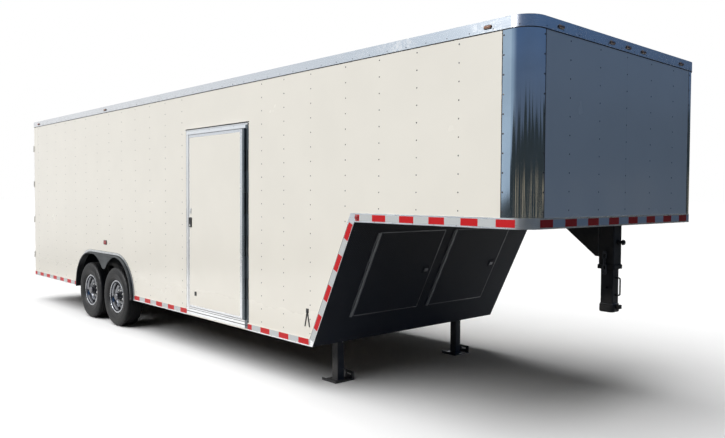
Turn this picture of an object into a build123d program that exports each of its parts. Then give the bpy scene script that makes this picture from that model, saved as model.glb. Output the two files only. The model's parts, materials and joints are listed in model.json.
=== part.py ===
"""Gooseneck cargo trailer with a 32 foot box, parked on its landing legs and wheels.

Millimetres. +X points forward, +Y to the trailer's left and +Z up. The origin is on the
ground under the middle of the box. Right-hand pieces are modelled first and mirrored.
"""
import os
from math import atan2, cos, radians, sin, tan

from build123d import *

# Box
box_length = 9720.0
box_width = 2591.0
roof_z = 2946.0
base_z = 400.0
neck_z = 1534.0
foot_setback = 2248.0
head_setback = 1695.0
riser_setback = 2458.0
wall_t = 48.0
roof_t = 42.0
roof_crown = 22.0
roof_shoulder = 34.0
floor_t = 19.0
riser_t = 38.0

# Corners, posts and trim
corner_r = 150.0
corner_side = 223.0
corner_front = 175.0
rear_post_depth = 150.0
rear_post_width = 60.0
rear_header = 152.0
door_stop = 15.0
door_stop_t = 12.0
trim_h = 80.0
trim_t = 5.0
trim_lip = 8.0
trim_lip_w = 30.0
band_h = 75.0
band_t = 3.0

# Chassis
member_w = 51.0
sill_h = 102.0
rail_h = 152.0
rail_inset = 330.5
cross_h = 76.0
cross_pitch = 610.0
rail_nose = 250.0
rail_taper = 150.0

# Side entry door
door_front = 3285.0
door_w = 1241.0
door_bottom = 453.0
door_headroom = 482.0
jamb_w = 40.0
jamb_proud = 4.0
door_gap = 5.0
door_hinge_gap = 8.0
door_t = 38.0
drip_h = 12.0
drip_out = 18.0
drip_edge = 5.0
stop_gap = 2.0
sill_plate_h = 40.0
hinge_out = 16.0
hinge_r = 11.0
hinge_pin_r = 4.0
fit_gap = 0.3
hinge_knuckles = 9
hinge_plate_t = 4.0
hinge_plate_w = 55.0
leaf_gap = 1.0
latch_back = 1155.0
latch_z = 1447.0
latch_w = 56.0
latch_h = 110.0
latch_out = 10.0
latch_round = 12.0
latch_edge = 3.0
latch_rim = 9.0
latch_paddle = 0.55
catch_back = 1045.0
catch_z = 655.0
catch_w = 32.0
catch_h = 44.0
catch_out = 8.0
holdback_rise = 62.0
holdback_h = 40.0
holdback_out = 6.0
wire_r = 4.0
wire_spread = 33.0
wire_drop = 80.0

# Rear doors
rear_door_t = 45.0
rear_gap = 5.0
rear_axis_out = 12.0
rear_axis_side = 3.0
rear_barrel_r = 9.0
rear_pin_r = 5.0
strap_h = 60.0
strap_t = 4.0
strap_on_leaf = 120.0
strap_rows = 4
strap_from_end = 240.0
lock_bar_r = 13.0
lock_bar_inset = 260.0
lock_bar_out = 32.0
lock_bar_over = 25.0
guide_w = 60.0
guide_h = 50.0
guide_from_end = 150.0
bar_handle_rise = 650.0
bar_handle_l = 380.0
bar_handle_h = 32.0
bar_handle_t = 10.0
hasp_from_end = 40.0

# Storage hatches on the slope
hatch_w = 880.0
hatch_gap_between = 145.0
hatch_low_z = 650.0
hatch_high_z = 1435.0
hatch_t = 20.0
hatch_edge = 4.0
hatch_axis_out = 8.0
hatch_barrel_r = 6.0
hatch_pin_r = 2.5
hatch_lip = 18.0
hatch_latch_in = 80.0
hatch_latch_w = 80.0
hatch_latch_out = 6.0

# Wheels, axles and arches
axle_mid = 6875.0
axle_spacing = 866.0
hub_inset = 89.0
tyre_r = 391.0
tyre_w = 235.0
tread_in = 28.0
tread_crown = 2.0
shoulder_drop = 30.0
shoulder_in = 8.0
shoulder_mid_drop = 9.0
shoulder_mid_in = 14.0
rim_seat_r = 203.0
rim_w = 165.0
rim_flange = 16.0
rim_lip_t = 7.0
rim_shell_t = 4.0
rim_ramp_t = 8.0
rim_ramp_in = 12.0
rim_well_t = 22.0
rim_well_in = 34.0
disc_t = 10.0
disc_face = 28.0
disc_flat_r = 108.0
disc_crown_r = 143.0
disc_crown = 24.0
disc_foot_r = 183.0
disc_foot_drop = 8.0
window_w = 46.0
window_h = 26.0
window_r = 151.0
wheel_windows = 8
lug_count = 8
lug_circle_r = 82.5
lug_hole_r = 8.0
hub_r = 62.0
hub_barrel_r = 58.0
hub_barrel_out = 52.0
hub_cap_r = 49.0
hub_cap_out = 90.0
hub_cap_round = 14.0
drum_r = 155.0
drum_w = 75.0
spindle_r = 25.0
torsion_arm = 152.0
torsion_angle = 32.5
torsion_beam = 76.0
beam_reach = 4.0
axle_pad = 180.0
axle_pad_sunk = 10.0
arm_t = 40.0
arm_beam_r = 52.0
arm_spindle_r = 42.0
spindle_in = 24.0
backing_in = 6.0
backing_t = 5.0
backing_gap = 3.0
arch_r = 505.0
arch_center_z = 425.0
flare_out = 38.0
flare_lip = 14.0
flare_flange = 40.0
flange_over = 2.0
web_tip_r = 95.0
web_t = 4.0
wheel_box_inset = 283.5
wheel_box_top = 985.0
sheet_t = 4.0

# Coupler
coupler_setback = 117.0
post_w = 127.0
post_wall = 9.5
post_bottom = 1190.0
stem_w = 101.6
stem_wall = 9.5
stem_top = 1480.0
socket_w = 125.0
socket_round = 30.0
socket_edge = 12.0
socket_bottom = 850.0
socket_top = 912.0
ball_bore_r = 29.8
ball_bore_depth = 40.0
bolt_z = 1400.0
bolt_r = 12.0
bolt_reach = 55.0
gusset_low_z = 1285.0
gusset_t = 10.0
gusset_foot = 26.0
gusset_back = 340.0
handle_low_z = 985.0
handle_high_z = 1120.0
handle_out = 38.0
handle_r = 6.0
lever_out = 36.0
lever_w = 28.0
lever_rise = 30.0
lever_h = 30.0
chain_wire_r = 5.0
chain_pitch = 34.0
chain_inner_w = 17.0
chain_top = 1300.0
chain_links = 3
chain_out = 22.0
eye_r = 8.0

# Landing legs
leg_setback = 2400.0
leg_inset = 103.0
leg_outer_w = 95.5
leg_w = 82.5
leg_wall = 6.0
leg_round = 8.0
leg_bracket_w = 80.0
leg_outer_top = 1100.0
leg_outer_bottom = 388.0
leg_inner_top = 800.0
shoe_x = 200.0
shoe_y = 230.0
shoe_t = 8.0
shoe_tab_h = 78.0
shoe_slot_h = 18.0
shoe_lip_h = 26.0

# Lamps
lamp_l = 70.0
lamp_h = 30.0
lamp_out = 14.0
lamp_drop = 46.0
lamp_setback = 342.0
lamp_ahead_of_axles = 100.0
lamp_from_rear = 247.0
front_lamp_pitch = 250.0
front_lamp_inset = 345.5
rear_lamp_pitch = 152.4
red_lamp_ahead = 69.0
red_lamp_rise = 165.5
red_lamp_l = 100.0
red_lamp_h = 65.0
red_lamp_out = 12.0
tail_lamp_z = 930.0
tail_lamp_h = 220.0
tail_lamp_in = 8.0
tail_lamp_out = 10.0

front_x = box_length / 2
rear_x = -box_length / 2
side_y = box_width / 2
foot_x = front_x - foot_setback
head_x = front_x - head_setback
riser_x = front_x - riser_setback
slope = atan2(head_x - foot_x, neck_z - base_z)
slope_skew = wall_t / cos(slope)
inner_y = side_y - wall_t
rail_y = side_y - rail_inset
roof_under = roof_z - trim_lip - roof_t
frame_top = base_z + sill_h
floor_top = frame_top + floor_t
neck_top = neck_z + sill_h
axles_x = front_x - axle_mid
axle_x = [axles_x + axle_spacing / 2, axles_x - axle_spacing / 2]
arch_half = axle_spacing / 2 + arch_r
well_x = (axles_x - arch_half, axles_x + arch_half)
wheel_box_y = side_y - wheel_box_inset
door_top = roof_z - door_headroom
hatch_y = [-hatch_gap_between / 2 - hatch_w, hatch_gap_between / 2]
coupler_x = front_x - coupler_setback
leg_x = front_x - leg_setback
leg_y = rail_y - leg_inset
wheel_y = side_y - hub_inset
lamp_z = roof_z - lamp_drop
slope_frame = Plane(origin=(foot_x, 0, base_z), x_dir=(0, 1, 0), z_dir=(cos(slope), 0, -sin(slope)))


def block(xs, ys, zs):
    """A box from its low and high places along each axis."""
    size = [b - a for a, b in (xs, ys, zs)]
    mid = [(a + b) / 2 for a, b in (xs, ys, zs)]
    return Pos(*mid) * Box(*size)


def side_prism(face, y_low, y_high):
    """A face drawn in X and Z, as a plate between two places across the trailer."""
    return Pos(0, y_high, 0) * extrude(Plane.XZ * face, y_high - y_low)


def end_prism(face, x_low, x_high):
    """A face drawn in Y and Z, as a plate between two places along the trailer."""
    return Pos(x_low, 0, 0) * extrude(Plane.YZ * face, x_high - x_low)


def polygon(points):
    return make_face(Polyline(*points, close=True))


def rect(x_low, x_high, y_low, y_high):
    return Pos((x_low + x_high) / 2, (y_low + y_high) / 2) * Rectangle(x_high - x_low, y_high - y_low)


def rod(start, end, radius):
    """A round bar between two points."""
    a, b = Vector(*start), Vector(*end)
    return Plane(origin=(a + b) / 2, z_dir=b - a) * Cylinder(radius, (b - a).length)


def left(shape):
    """The same piece on the trailer's left side."""
    return mirror(shape, about=Plane.XZ)


def plan(grow=0.0):
    """The box seen from above, with round front corners, grown or shrunk all round."""
    face = rect(rear_x - grow, front_x + grow, -side_y - grow, side_y + grow)
    return fillet(face.vertices().group_by(Axis.X)[-1], corner_r + grow)


def ring(outer, inner, z_low, z_high):
    return Pos(0, 0, z_low) * extrude(outer - inner, z_high - z_low)


def side_outline(skew, rear, front, top):
    """The side of the box: main floor edge, slope, neck edge and roof."""
    return polygon([(rear, base_z), (foot_x - skew, base_z), (head_x - skew, neck_z), (front, neck_z),
                    (front, top), (rear, top)])


def arch(radius):
    """The wheel arch: two round shoulders over the wheels and a flat top, open below."""
    half = axle_spacing / 2 + radius
    face = rect(axles_x - half, axles_x + half, base_z - sill_h, arch_center_z + radius)
    return fillet(face.vertices().group_by(Axis.Y)[-1], radius)


def door_rect(shrink=0.0, hinge_shrink=0.0):
    """The side door's frame in X and Z, or an opening inside it."""
    x_high = front_x - door_front - shrink - hinge_shrink
    return rect(front_x - door_front - door_w + shrink, x_high, door_bottom + shrink, door_top - shrink)


# Walls, roof and floors

def make_wall_right():
    face = side_outline(slope_skew, rear_x + rear_post_depth, front_x - corner_side, roof_under)
    face = face - arch(arch_r) - door_rect()
    return side_prism(face, -side_y, -inner_y)


def make_wall_left():
    face = side_outline(slope_skew, rear_x + rear_post_depth, front_x - corner_side, roof_under)
    return side_prism(face - arch(arch_r), inner_y, side_y)


def make_corner_caps():
    """The two rounded corners, as thick as the walls that they join."""
    keep = rect(front_x - corner_side, front_x, -side_y, -side_y + corner_front)
    right = Pos(0, 0, neck_z) * extrude((plan() - plan(-wall_t)) & keep, roof_under - neck_z)
    return Compound(children=[right, left(right)])


def make_wall_front():
    half = side_y - corner_front
    return block((front_x - wall_t, front_x), (-half, half), (neck_z, roof_under))


def make_roof():
    top = roof_z - trim_lip
    shoulder = side_y - roof_shoulder
    slab = Pos(0, 0, roof_under) * extrude(plan(), top - roof_under)
    low = top - roof_t / 2
    profile = make_face([Polyline((-shoulder, top), (-shoulder, low), (shoulder, low), (shoulder, top)),
                         ThreePointArc((shoulder, top), (0, top + roof_crown), (-shoulder, top))])
    crown = end_prism(profile, rear_x + roof_shoulder, front_x - roof_shoulder)
    inside = Pos(0, 0, base_z) * extrude(plan(-roof_shoulder), roof_z)
    return slab + (crown & inside)


def make_roof_trim():
    """The bright trim round the roof's edge, with a lip that laps the roof sheet."""
    skirt = ring(plan(trim_t), plan(), roof_z - trim_h, roof_z)
    return skirt + ring(plan(), plan(-trim_lip_w), roof_z - trim_lip, roof_z)


def make_floor_main():
    """The main floor sheet, from the rear doors to the step, notched for the wheel boxes."""
    floor = block((rear_x + rear_post_width, riser_x - riser_t), (-inner_y, inner_y), (frame_top, floor_top))
    for side in (-1, 1):
        y_edges = sorted((side * wheel_box_y, side * side_y))
        floor -= block(well_x, y_edges, (frame_top, floor_top))
    return floor


def make_floor_locker():
    """The locker's floor sheet behind the slope, with a hole for each landing leg."""
    nose = foot_x - slope_skew + sill_h * tan(slope)
    floor = block((riser_x, nose), (-inner_y, inner_y), (frame_top, floor_top))
    hole = leg_outer_w + 2 * fit_gap
    for side in (-1, 1):
        floor -= Pos(leg_x, side * leg_y, frame_top) * Box(hole, hole, 3 * floor_t)
    return floor


def make_floor_upper():
    face = plan(-wall_t) & rect(riser_x - riser_t, front_x, -side_y, side_y)
    return Pos(0, 0, neck_top) * extrude(face, floor_t)


def make_riser_wall():
    """The step between the main floor and the upper deck."""
    return block((riser_x - riser_t, riser_x), (-inner_y, inner_y), (frame_top, neck_z))


def make_wheel_boxes():
    """The steel boxes that close the wheel wells off from the cargo space."""
    outer = block(well_x, (-inner_y, -wheel_box_y), (frame_top, wheel_box_top))
    hollow = block((well_x[0] + sheet_t, well_x[1] - sheet_t), (-inner_y, -wheel_box_y - sheet_t),
                   (frame_top, wheel_box_top - sheet_t))
    right = outer - hollow
    return Compound(children=[right, left(right)])


# Trim bands

def band_strip():
    """The lower edge of a side: main floor, slope and neck, open at the wheel arch."""
    lower = side_outline(0, rear_x, front_x - corner_side, roof_under)
    far = side_outline(0, rear_x - box_length, front_x + box_length, roof_z + box_length)
    return lower - offset(far, -band_h, kind=Kind.INTERSECTION) - arch(arch_r + flare_flange)


def make_edge_band():
    """The flat band along the lower edge of both sides and round the front."""
    x_high = front_x - door_front
    sill = rect(x_high - door_w, x_high, base_z, door_bottom)
    right = side_prism(band_strip() - door_rect() - sill, -side_y - band_t, -side_y)
    wide = side_y + band_t
    keep = rect(front_x - corner_side, front_x + band_t, -wide, wide)
    front = Pos(0, 0, neck_z) * extrude((plan(band_t) - plan()) & keep, band_h)
    return right + side_prism(band_strip(), side_y, side_y + band_t) + front


# Chassis

def make_main_rails():
    """The two long main rails, tapered at the front behind the slope."""
    nose = foot_x - rail_nose + rail_taper
    heel = rear_x + rear_post_width
    low = frame_top - rail_h
    face = polygon([(heel, low), (nose - rail_taper, low), (nose, base_z), (nose, frame_top),
                    (heel, frame_top)])
    right = side_prism(face, -rail_y - member_w / 2, -rail_y + member_w / 2)
    return Compound(children=[right, left(right)])


def make_edge_members():
    """The outer edge members, broken where the wheels stand."""
    solids = []
    for a, b in ((rear_x + rear_post_depth, well_x[0]), (well_x[1], foot_x - slope_skew)):
        right = block((a, b), (-inner_y, -inner_y + member_w), (base_z, frame_top))
        solids += [right, left(right)]
    return Compound(children=solids)


def make_cross_members():
    """The floor's cross members, between the rails and out to the edge members."""
    inside = rail_y - member_w / 2
    outside = inner_y - member_w
    z = (frame_top - cross_h, frame_top)
    solids = []
    nose = leg_x - leg_outer_w / 2 - 2 * member_w
    count = int((nose - rear_x - rear_post_depth) // cross_pitch)
    for i in range(count + 1):
        x = (nose - i * cross_pitch, nose - i * cross_pitch + member_w)
        solids.append(block(x, (-inside, inside), z))
        if x[1] < well_x[0] or x[0] > well_x[1]:
            right = block(x, (-outside, -rail_y - member_w / 2), z)
            solids += [right, left(right)]
    return Compound(children=solids + [front_member()])


def front_member():
    """The member across the foot of the slope."""
    nose = foot_x - slope_skew
    half = inner_y - member_w
    return block((foot_x - rail_nose + rail_taper, nose), (-half, half), (base_z, frame_top))


def make_neck_rails():
    """The neck's edge members and the two beams that hold the coupler post between them."""
    back = riser_x - riser_t
    nose = front_x - wall_t
    z = (neck_z, neck_top)
    edge = block((back, nose - corner_r), (-inner_y, -inner_y + member_w), z)
    beam = block((back, nose), (-post_w / 2 - member_w, -post_w / 2), z)
    return Compound(children=[edge, left(edge), beam, left(beam)])


def make_neck_cross_members():
    """The neck's cross members, between its long members, and the one under the front wall."""
    back = riser_x - riser_t
    nose = front_x - wall_t
    beam = post_w / 2 + member_w
    count = int((nose - corner_r - back) // cross_pitch)
    pitch = (nose - corner_r - member_w - back) / count
    z = (neck_top - cross_h, neck_top)
    solids = []
    for i in range(count + 1):
        x = (back + i * pitch, back + i * pitch + member_w)
        right = block(x, (-inner_y + member_w, -beam), z)
        solids += [right, left(right), block(x, (-post_w / 2, post_w / 2), z)]
    right = block((nose - member_w, nose), (corner_front - side_y, -beam), (neck_z, neck_top))
    return Compound(children=solids + [right, left(right)])


# Slope with its two storage hatches

def slope_u(z):
    """How far up the slope a height lies."""
    return (z - base_z) / cos(slope)


def make_slope_panel():
    face = polygon([(foot_x, base_z), (head_x, neck_z), (head_x - slope_skew, neck_z),
                    (foot_x - slope_skew, base_z)])
    panel = side_prism(face, -side_y, side_y)
    low, high = slope_u(hatch_low_z), slope_u(hatch_high_z)
    for y in hatch_y:
        y_edges = (y - hatch_edge, y + hatch_w + hatch_edge)
        u_edges = (low - hatch_edge, high + hatch_edge)
        panel -= slope_frame * block(y_edges, u_edges, (-hatch_t - hatch_edge, wall_t))
        opening = rect(y + hatch_lip, y + hatch_w - hatch_lip, low + hatch_lip, high - hatch_lip)
        panel -= slope_frame * extrude(opening, 2 * wall_t, both=True)
        for knuckle in hatch_knuckles(y, 0):
            panel += slope_frame * knuckle
        panel += slope_frame * hatch_rod(y, low, high, hatch_pin_r)
    return panel


def hatch_rows(parity):
    """Low and high ends of every second knuckle up a hatch's hinge."""
    low, high = slope_u(hatch_low_z), slope_u(hatch_high_z)
    step = (high - low) / hinge_knuckles
    return [(low + i * step, low + (i + 1) * step) for i in range(hinge_knuckles) if i % 2 == parity]


def hatch_knuckles(y, parity):
    """One side's hinge knuckles: parity 0 is fixed to the slope, 1 moves with the hatch."""
    knuckles = []
    reach = 5 * hatch_barrel_r
    for low, high in hatch_rows(parity):
        low += fit_gap * parity
        high -= fit_gap * parity
        barrel = hatch_rod(y, low, high, hatch_barrel_r)
        if parity:
            plate = block((y, y + reach), (low, high), (0, hatch_axis_out - hatch_pin_r - leaf_gap))
        else:
            plate = block((y - reach, y), (low, high), (0, hatch_axis_out - hatch_pin_r - leaf_gap))
        plate -= block((y - hatch_edge, y + hatch_edge), (low, high), (0, hatch_axis_out - hatch_barrel_r))
        knuckles.append(plate + barrel)
    return knuckles


def hatch_rod(y, low, high, radius):
    """A round bar on a hatch's hinge axis, between two places up the slope."""
    return rod((y, low, hatch_axis_out), (y, high, hatch_axis_out), radius)


def make_hatch(y):
    low, high = slope_u(hatch_low_z), slope_u(hatch_high_z)
    leaf = block((y + hatch_edge, y + hatch_w), (low, high), (-hatch_t, 0))
    for knuckle in hatch_knuckles(y, 1):
        leaf += knuckle
    bore = hatch_rod(y, low - hatch_lip, high + hatch_lip, hatch_pin_r + fit_gap)
    latch = paddle_latch(hatch_latch_w, hatch_latch_w, hatch_latch_out)
    return slope_frame * (leaf - bore + Pos(y + hatch_w - hatch_latch_in, (low + high) / 2, 0) * latch)


def paddle_latch(width, height, out):
    """A latch seen from outside, on its own plane: a rounded tray whose recess holds the paddle."""
    tray = extrude(RectangleRounded(width, height, latch_round), out)
    tray = fillet(tray.edges().group_by(Axis.Z)[-1], latch_edge)
    depth = out / 2
    inside = Rectangle(width - 2 * latch_rim, height - 2 * latch_rim)
    paddle = Rectangle(width - 3 * latch_rim, (height - 2 * latch_rim) * latch_paddle)
    return tray - Pos(0, 0, depth) * extrude(inside - paddle, depth)


# Side entry door

def hinge_axis():
    return (front_x - door_front - jamb_w, -side_y - hinge_out)


def door_rows(parity):
    low, high = door_bottom + jamb_w + door_gap, door_top - jamb_w - door_gap
    step = (high - low) / hinge_knuckles
    return [(low + i * step, low + (i + 1) * step) for i in range(hinge_knuckles) if i % 2 == parity]


def door_knuckle(z_low, z_high, direction):
    """A hinge knuckle with its leaf towards the door (-1) or the jamb (1)."""
    x, y = hinge_axis()
    barrel = Pos(x, y, (z_low + z_high) / 2) * Cylinder(hinge_r, z_high - z_low)
    xs = sorted((x + direction * hinge_plate_w, x))
    plate = block(xs, (-side_y - hinge_plate_t, -side_y), (z_low, z_high))
    wing = sorted((x + direction * hinge_r, x))
    wing_in = -side_y if direction > 0 else -side_y - leaf_gap
    return barrel + plate + block(wing, (-side_y - hinge_out, wing_in), (z_low, z_high))


def make_door_frame():
    """The side door's frame with its drip cap, sill plate and fixed hinge knuckles."""
    x_high = front_x - door_front
    x_low = x_high - door_w
    frame = side_prism(door_rect() - door_rect(jamb_w), -side_y - jamb_proud, -inner_y)
    stop_y = -side_y + door_t + stop_gap
    frame += side_prism(door_rect(jamb_w) - door_rect(jamb_w + door_stop), stop_y, -inner_y)
    drip = polygon([(-side_y, door_top), (-side_y - drip_out, door_top),
                    (-side_y - drip_out, door_top + drip_edge), (-side_y, door_top + drip_h)])
    frame += end_prism(drip, x_low - door_stop, x_high + door_stop)
    sill_z = (door_bottom - sill_plate_h, door_bottom)
    frame += block((x_low, x_high), (-side_y - jamb_proud, -side_y), sill_z)
    for z_low, z_high in door_rows(0):
        frame += door_knuckle(z_low, z_high, 1)
    x, y = hinge_axis()
    low, high = door_rows(0)[0][0], door_rows(0)[-1][1]
    return frame + Pos(x, y, (low + high) / 2) * Cylinder(hinge_pin_r, high - low)


def make_entry_door():
    x, y = hinge_axis()
    face = door_rect(jamb_w + door_gap, door_hinge_gap - door_gap)
    leaf = side_prism(face, -side_y, -side_y + door_t)
    for z_low, z_high in door_rows(1):
        leaf += door_knuckle(z_low + fit_gap, z_high - fit_gap, -1)
    return leaf - Pos(x, y, door_top / 2) * Cylinder(hinge_pin_r + fit_gap, 2 * door_top)


def on_side(x, z):
    """A plane on the right wall that faces out of it, with its Y up."""
    return Plane(origin=(x, -side_y, z), x_dir=(1, 0, 0), z_dir=(0, -1, 0))


def make_door_latch():
    """The flush lock by the free edge and the catch that the wall's hold-back grips."""
    x = front_x - door_front
    lock = on_side(x - latch_back, latch_z) * paddle_latch(latch_w, latch_h, latch_out)
    catch = on_side(x - catch_back, catch_z) * extrude(Rectangle(catch_w, catch_h), catch_out)
    return Compound(children=[lock, catch])


def make_door_holdback():
    """The wire catch on the wall that holds the door when it is swung right round."""
    x = hinge_axis()[0] + catch_back - jamb_w
    z = catch_z + holdback_rise
    piece = on_side(x, z) * extrude(Rectangle(catch_w, holdback_h), holdback_out)
    y = -side_y - wire_r - leaf_gap
    for way in (-1, 1):
        piece += rod((x, y, z), (x + way * wire_spread, y, catch_z - wire_drop), wire_r)
    return piece


# Rear frame and doors

def make_rear_frame():
    """The rear portal with its stops and the fixed hinge pins at its corners."""
    outer = rect(-side_y, side_y, base_z, roof_under)
    opening = rect(-side_y + rear_post_width, side_y - rear_post_width, frame_top, roof_under - rear_header)
    frame = end_prism(outer - opening, rear_x, rear_x + rear_post_width)
    for side in (-1, 1):
        ys = sorted((side * side_y, side * inner_y))
        frame += block((rear_x, rear_x + rear_post_depth), ys, (base_z, roof_under))
    stop = rect(-side_y + rear_post_width + door_stop, side_y - rear_post_width - door_stop,
                frame_top + door_stop, roof_under - rear_header - door_stop)
    x_stop = rear_x + rear_door_t + stop_gap
    frame += end_prism(opening - stop, x_stop, x_stop + door_stop_t)
    for side in (-1, 1):
        for z in strap_places():
            frame += rear_pin(side, z)
    return frame


def strap_places():
    low = frame_top + strap_from_end
    high = roof_under - rear_header - strap_from_end
    return [low + i * (high - low) / (strap_rows - 1) for i in range(strap_rows)]


def rear_axis(side):
    return (rear_x - rear_axis_out, side * (side_y + rear_axis_side))


def rear_pin(side, z):
    """A hinge pin between two lugs on the corner post."""
    x, y = rear_axis(side)
    lug_h = strap_h / 3
    piece = Pos(x, y, z) * Cylinder(rear_pin_r, strap_h + 2 * lug_h)
    for end in (-1, 1):
        z_mid = z + end * (strap_h + lug_h) / 2
        piece += Pos(x, y, z_mid) * Cylinder(rear_barrel_r, lug_h)
        ys = sorted((y, side * (side_y - rear_post_width / 2)))
        piece += block((x, rear_x), ys, (z_mid - lug_h / 2, z_mid + lug_h / 2))
    return piece


def make_rear_door(side):
    """One rear leaf with the straps of its hinges."""
    near, far = rear_gap / 2, side_y - rear_post_width - rear_gap
    ys = sorted((side * near, side * far))
    zs = (frame_top + rear_gap, roof_under - rear_header - rear_gap)
    leaf = block((rear_x, rear_x + rear_door_t), ys, zs)
    x, y = rear_axis(side)
    half = strap_h / 2 - fit_gap
    for z in strap_places():
        span = sorted((y, side * (far - strap_on_leaf)))
        leaf += block((x - strap_t / 2, x + strap_t / 2), span, (z - half, z + half))
        foot = sorted((side * far, side * (far - strap_on_leaf)))
        leaf += block((x, rear_x), foot, (z - half, z + half))
        leaf += Pos(x, y, z) * Cylinder(rear_barrel_r, 2 * half)
    for z in strap_places():
        leaf -= Pos(x, y, z) * Cylinder(rear_pin_r + fit_gap, 2 * strap_h)
    return leaf


def make_lock_bar(side):
    """A full-height lock bar with its guides and swing handle."""
    y = side * lock_bar_inset
    x = rear_x - lock_bar_out
    low, high = frame_top, roof_under - rear_header
    bar = rod((x, y, low - lock_bar_over), (x, y, high + lock_bar_over), lock_bar_r)
    for z in (low + guide_from_end, (low + high) / 2, high - guide_from_end):
        bar += block((x, rear_x), (y - guide_w / 2, y + guide_w / 2), (z - guide_h / 2, z + guide_h / 2))
    z = low + bar_handle_rise
    handle = Box(bar_handle_t, bar_handle_l, bar_handle_h)
    bar += Pos(x, y + side * bar_handle_l / 2, z) * handle
    hasp = y + side * (bar_handle_l - hasp_from_end)
    return bar + block((x, rear_x), sorted((hasp, hasp + side * guide_h)), (z - guide_h / 2, z + guide_h / 2))


# Wheels and axles

def wheel_frame(x, side):
    """A wheel's own frame: its axis along Z, pointing out of the trailer."""
    return Plane(origin=(x, side * wheel_y, tyre_r), x_dir=(1, 0, 0), z_dir=(0, side, 0))


def tyre_shoulder(way):
    """The tyre's section from its tread's edge to its bead, on the outer (1) or inner (-1) side."""
    half, bead = tyre_w / 2, rim_w / 2
    tread = (tyre_r - tread_crown, way * (half - tread_in))
    turn = (tyre_r - shoulder_mid_drop, way * (half - shoulder_mid_in))
    shoulder = (tyre_r - shoulder_drop, way * (half - shoulder_in))
    bulge = ((rim_seat_r + tyre_r) / 2, way * half)
    foot = (rim_seat_r + rim_flange, way * bead)
    return [ThreePointArc(tread, turn, shoulder), ThreePointArc(shoulder, bulge, foot),
            Line(foot, (rim_seat_r, way * bead))]


def make_tyre(x, side):
    tread = [(tyre_r - tread_crown, way * (tyre_w / 2 - tread_in)) for way in (-1, 1)]
    crown = ThreePointArc(tread[0], (tyre_r, 0), tread[1])
    seat = Line((rim_seat_r, rim_w / 2), (rim_seat_r, -rim_w / 2))
    section = make_face([crown, seat] + tyre_shoulder(1) + tyre_shoulder(-1))
    return wheel_frame(x, side) * revolve(Plane.XZ * section, Axis.Z)


def rim_barrel():
    """The barrel's section: a flange at each bead and the well between, thicker where the disc meets it."""
    seat = rim_seat_r - fit_gap
    edge = rim_w / 2 + fit_gap
    lip = seat + rim_flange - leaf_gap
    half = [(seat, edge), (lip, edge), (lip, edge + rim_lip_t), (seat - rim_shell_t, edge + rim_lip_t),
            (seat - rim_ramp_t, edge - rim_ramp_in), (seat - rim_well_t, edge - rim_well_in)]
    return polygon(half + [(r, -z) for r, z in reversed(half)])


def rim_disc():
    """The disc's section: flat round the hub, then bulged outwards and back to the barrel."""
    curve = [(disc_flat_r, disc_face), (disc_crown_r, disc_face + disc_crown),
             (disc_foot_r, disc_face - disc_foot_drop)]
    under = [(r, z - disc_t) for r, z in curve]
    bore = hub_r + fit_gap
    return make_face([Line((bore, disc_face), curve[0]), ThreePointArc(*curve), Line(curve[-1], under[-1]),
                      ThreePointArc(*reversed(under)), Line(under[0], (bore, disc_face - disc_t)),
                      Line((bore, disc_face - disc_t), (bore, disc_face))])


def make_rim(x, side):
    """A steel wheel: barrel and dished disc, with rounded windows and lug holes cut in rings."""
    rim = revolve(Plane.XZ * rim_barrel(), Axis.Z) + revolve(Plane.XZ * rim_disc(), Axis.Z)
    window = extrude(SlotOverall(window_w, window_h, rotation=90), rim_w, both=True)
    rim -= [Rot(0, 0, 360 / wheel_windows * i) * Pos(window_r, 0, 0) * window for i in range(wheel_windows)]
    lug = Cylinder(lug_hole_r, rim_w)
    rim -= [Rot(0, 0, 360 / lug_count * (i + 0.5)) * Pos(lug_circle_r, 0, 0) * lug for i in range(lug_count)]
    return wheel_frame(x, side) * rim


def make_hub(x, side):
    """The hub and brake drum that the wheel bolts to, with its stepped and rounded cap."""
    seat = disc_face - disc_t
    section = polygon([(0, seat - drum_w), (drum_r, seat - drum_w), (drum_r, seat), (hub_barrel_r, seat),
                       (hub_barrel_r, seat + hub_barrel_out), (hub_cap_r, seat + hub_barrel_out),
                       (hub_cap_r, seat + hub_cap_out), (0, seat + hub_cap_out)])
    outer = section.vertices().group_by(Axis.Y)[-1].sort_by(Axis.X)[-1]
    hub = revolve(Plane.XZ * fillet(outer, hub_cap_round), Axis.Z)
    bore = Pos(0, 0, seat - drum_w) * Cylinder(spindle_r + fit_gap, 2 * (drum_w - spindle_in + fit_gap))
    return wheel_frame(x, side) * (hub - bore)


def make_axle(x):
    """A torsion axle: square beam under the rails, trailing arms, spindles and backing plates."""
    drop = torsion_arm * sin(radians(torsion_angle))
    ahead = torsion_arm * cos(radians(torsion_angle))
    beam_z = tyre_r - drop
    reach = rail_y + member_w / 2 + beam_reach
    beam_x = x + ahead
    half = torsion_beam / 2
    axle = block((beam_x - half, beam_x + half), (-reach, reach), (beam_z - half, beam_z + half))
    drum_back = wheel_y + disc_face - disc_t - drum_w
    for side in (-1, 1):
        arm_out = side * (reach + arm_t)
        axle += side_prism(arm_profile(x, beam_x, beam_z), *sorted((side * reach, arm_out)))
        spindle_end = side * (drum_back + drum_w - spindle_in)
        axle += rod((x, arm_out, tyre_r), (x, spindle_end, tyre_r), spindle_r)
        plate = side * (drum_back - backing_gap)
        axle += rod((x, plate - side * backing_t, tyre_r), (x, plate, tyre_r), drum_r - backing_in)
        pad = sorted((side * (rail_y - member_w / 2), side * (rail_y + member_w / 2)))
        axle += block((beam_x - axle_pad / 2, beam_x + axle_pad / 2), pad,
                      (beam_z + half - axle_pad_sunk, frame_top - rail_h))
    return axle


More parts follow.
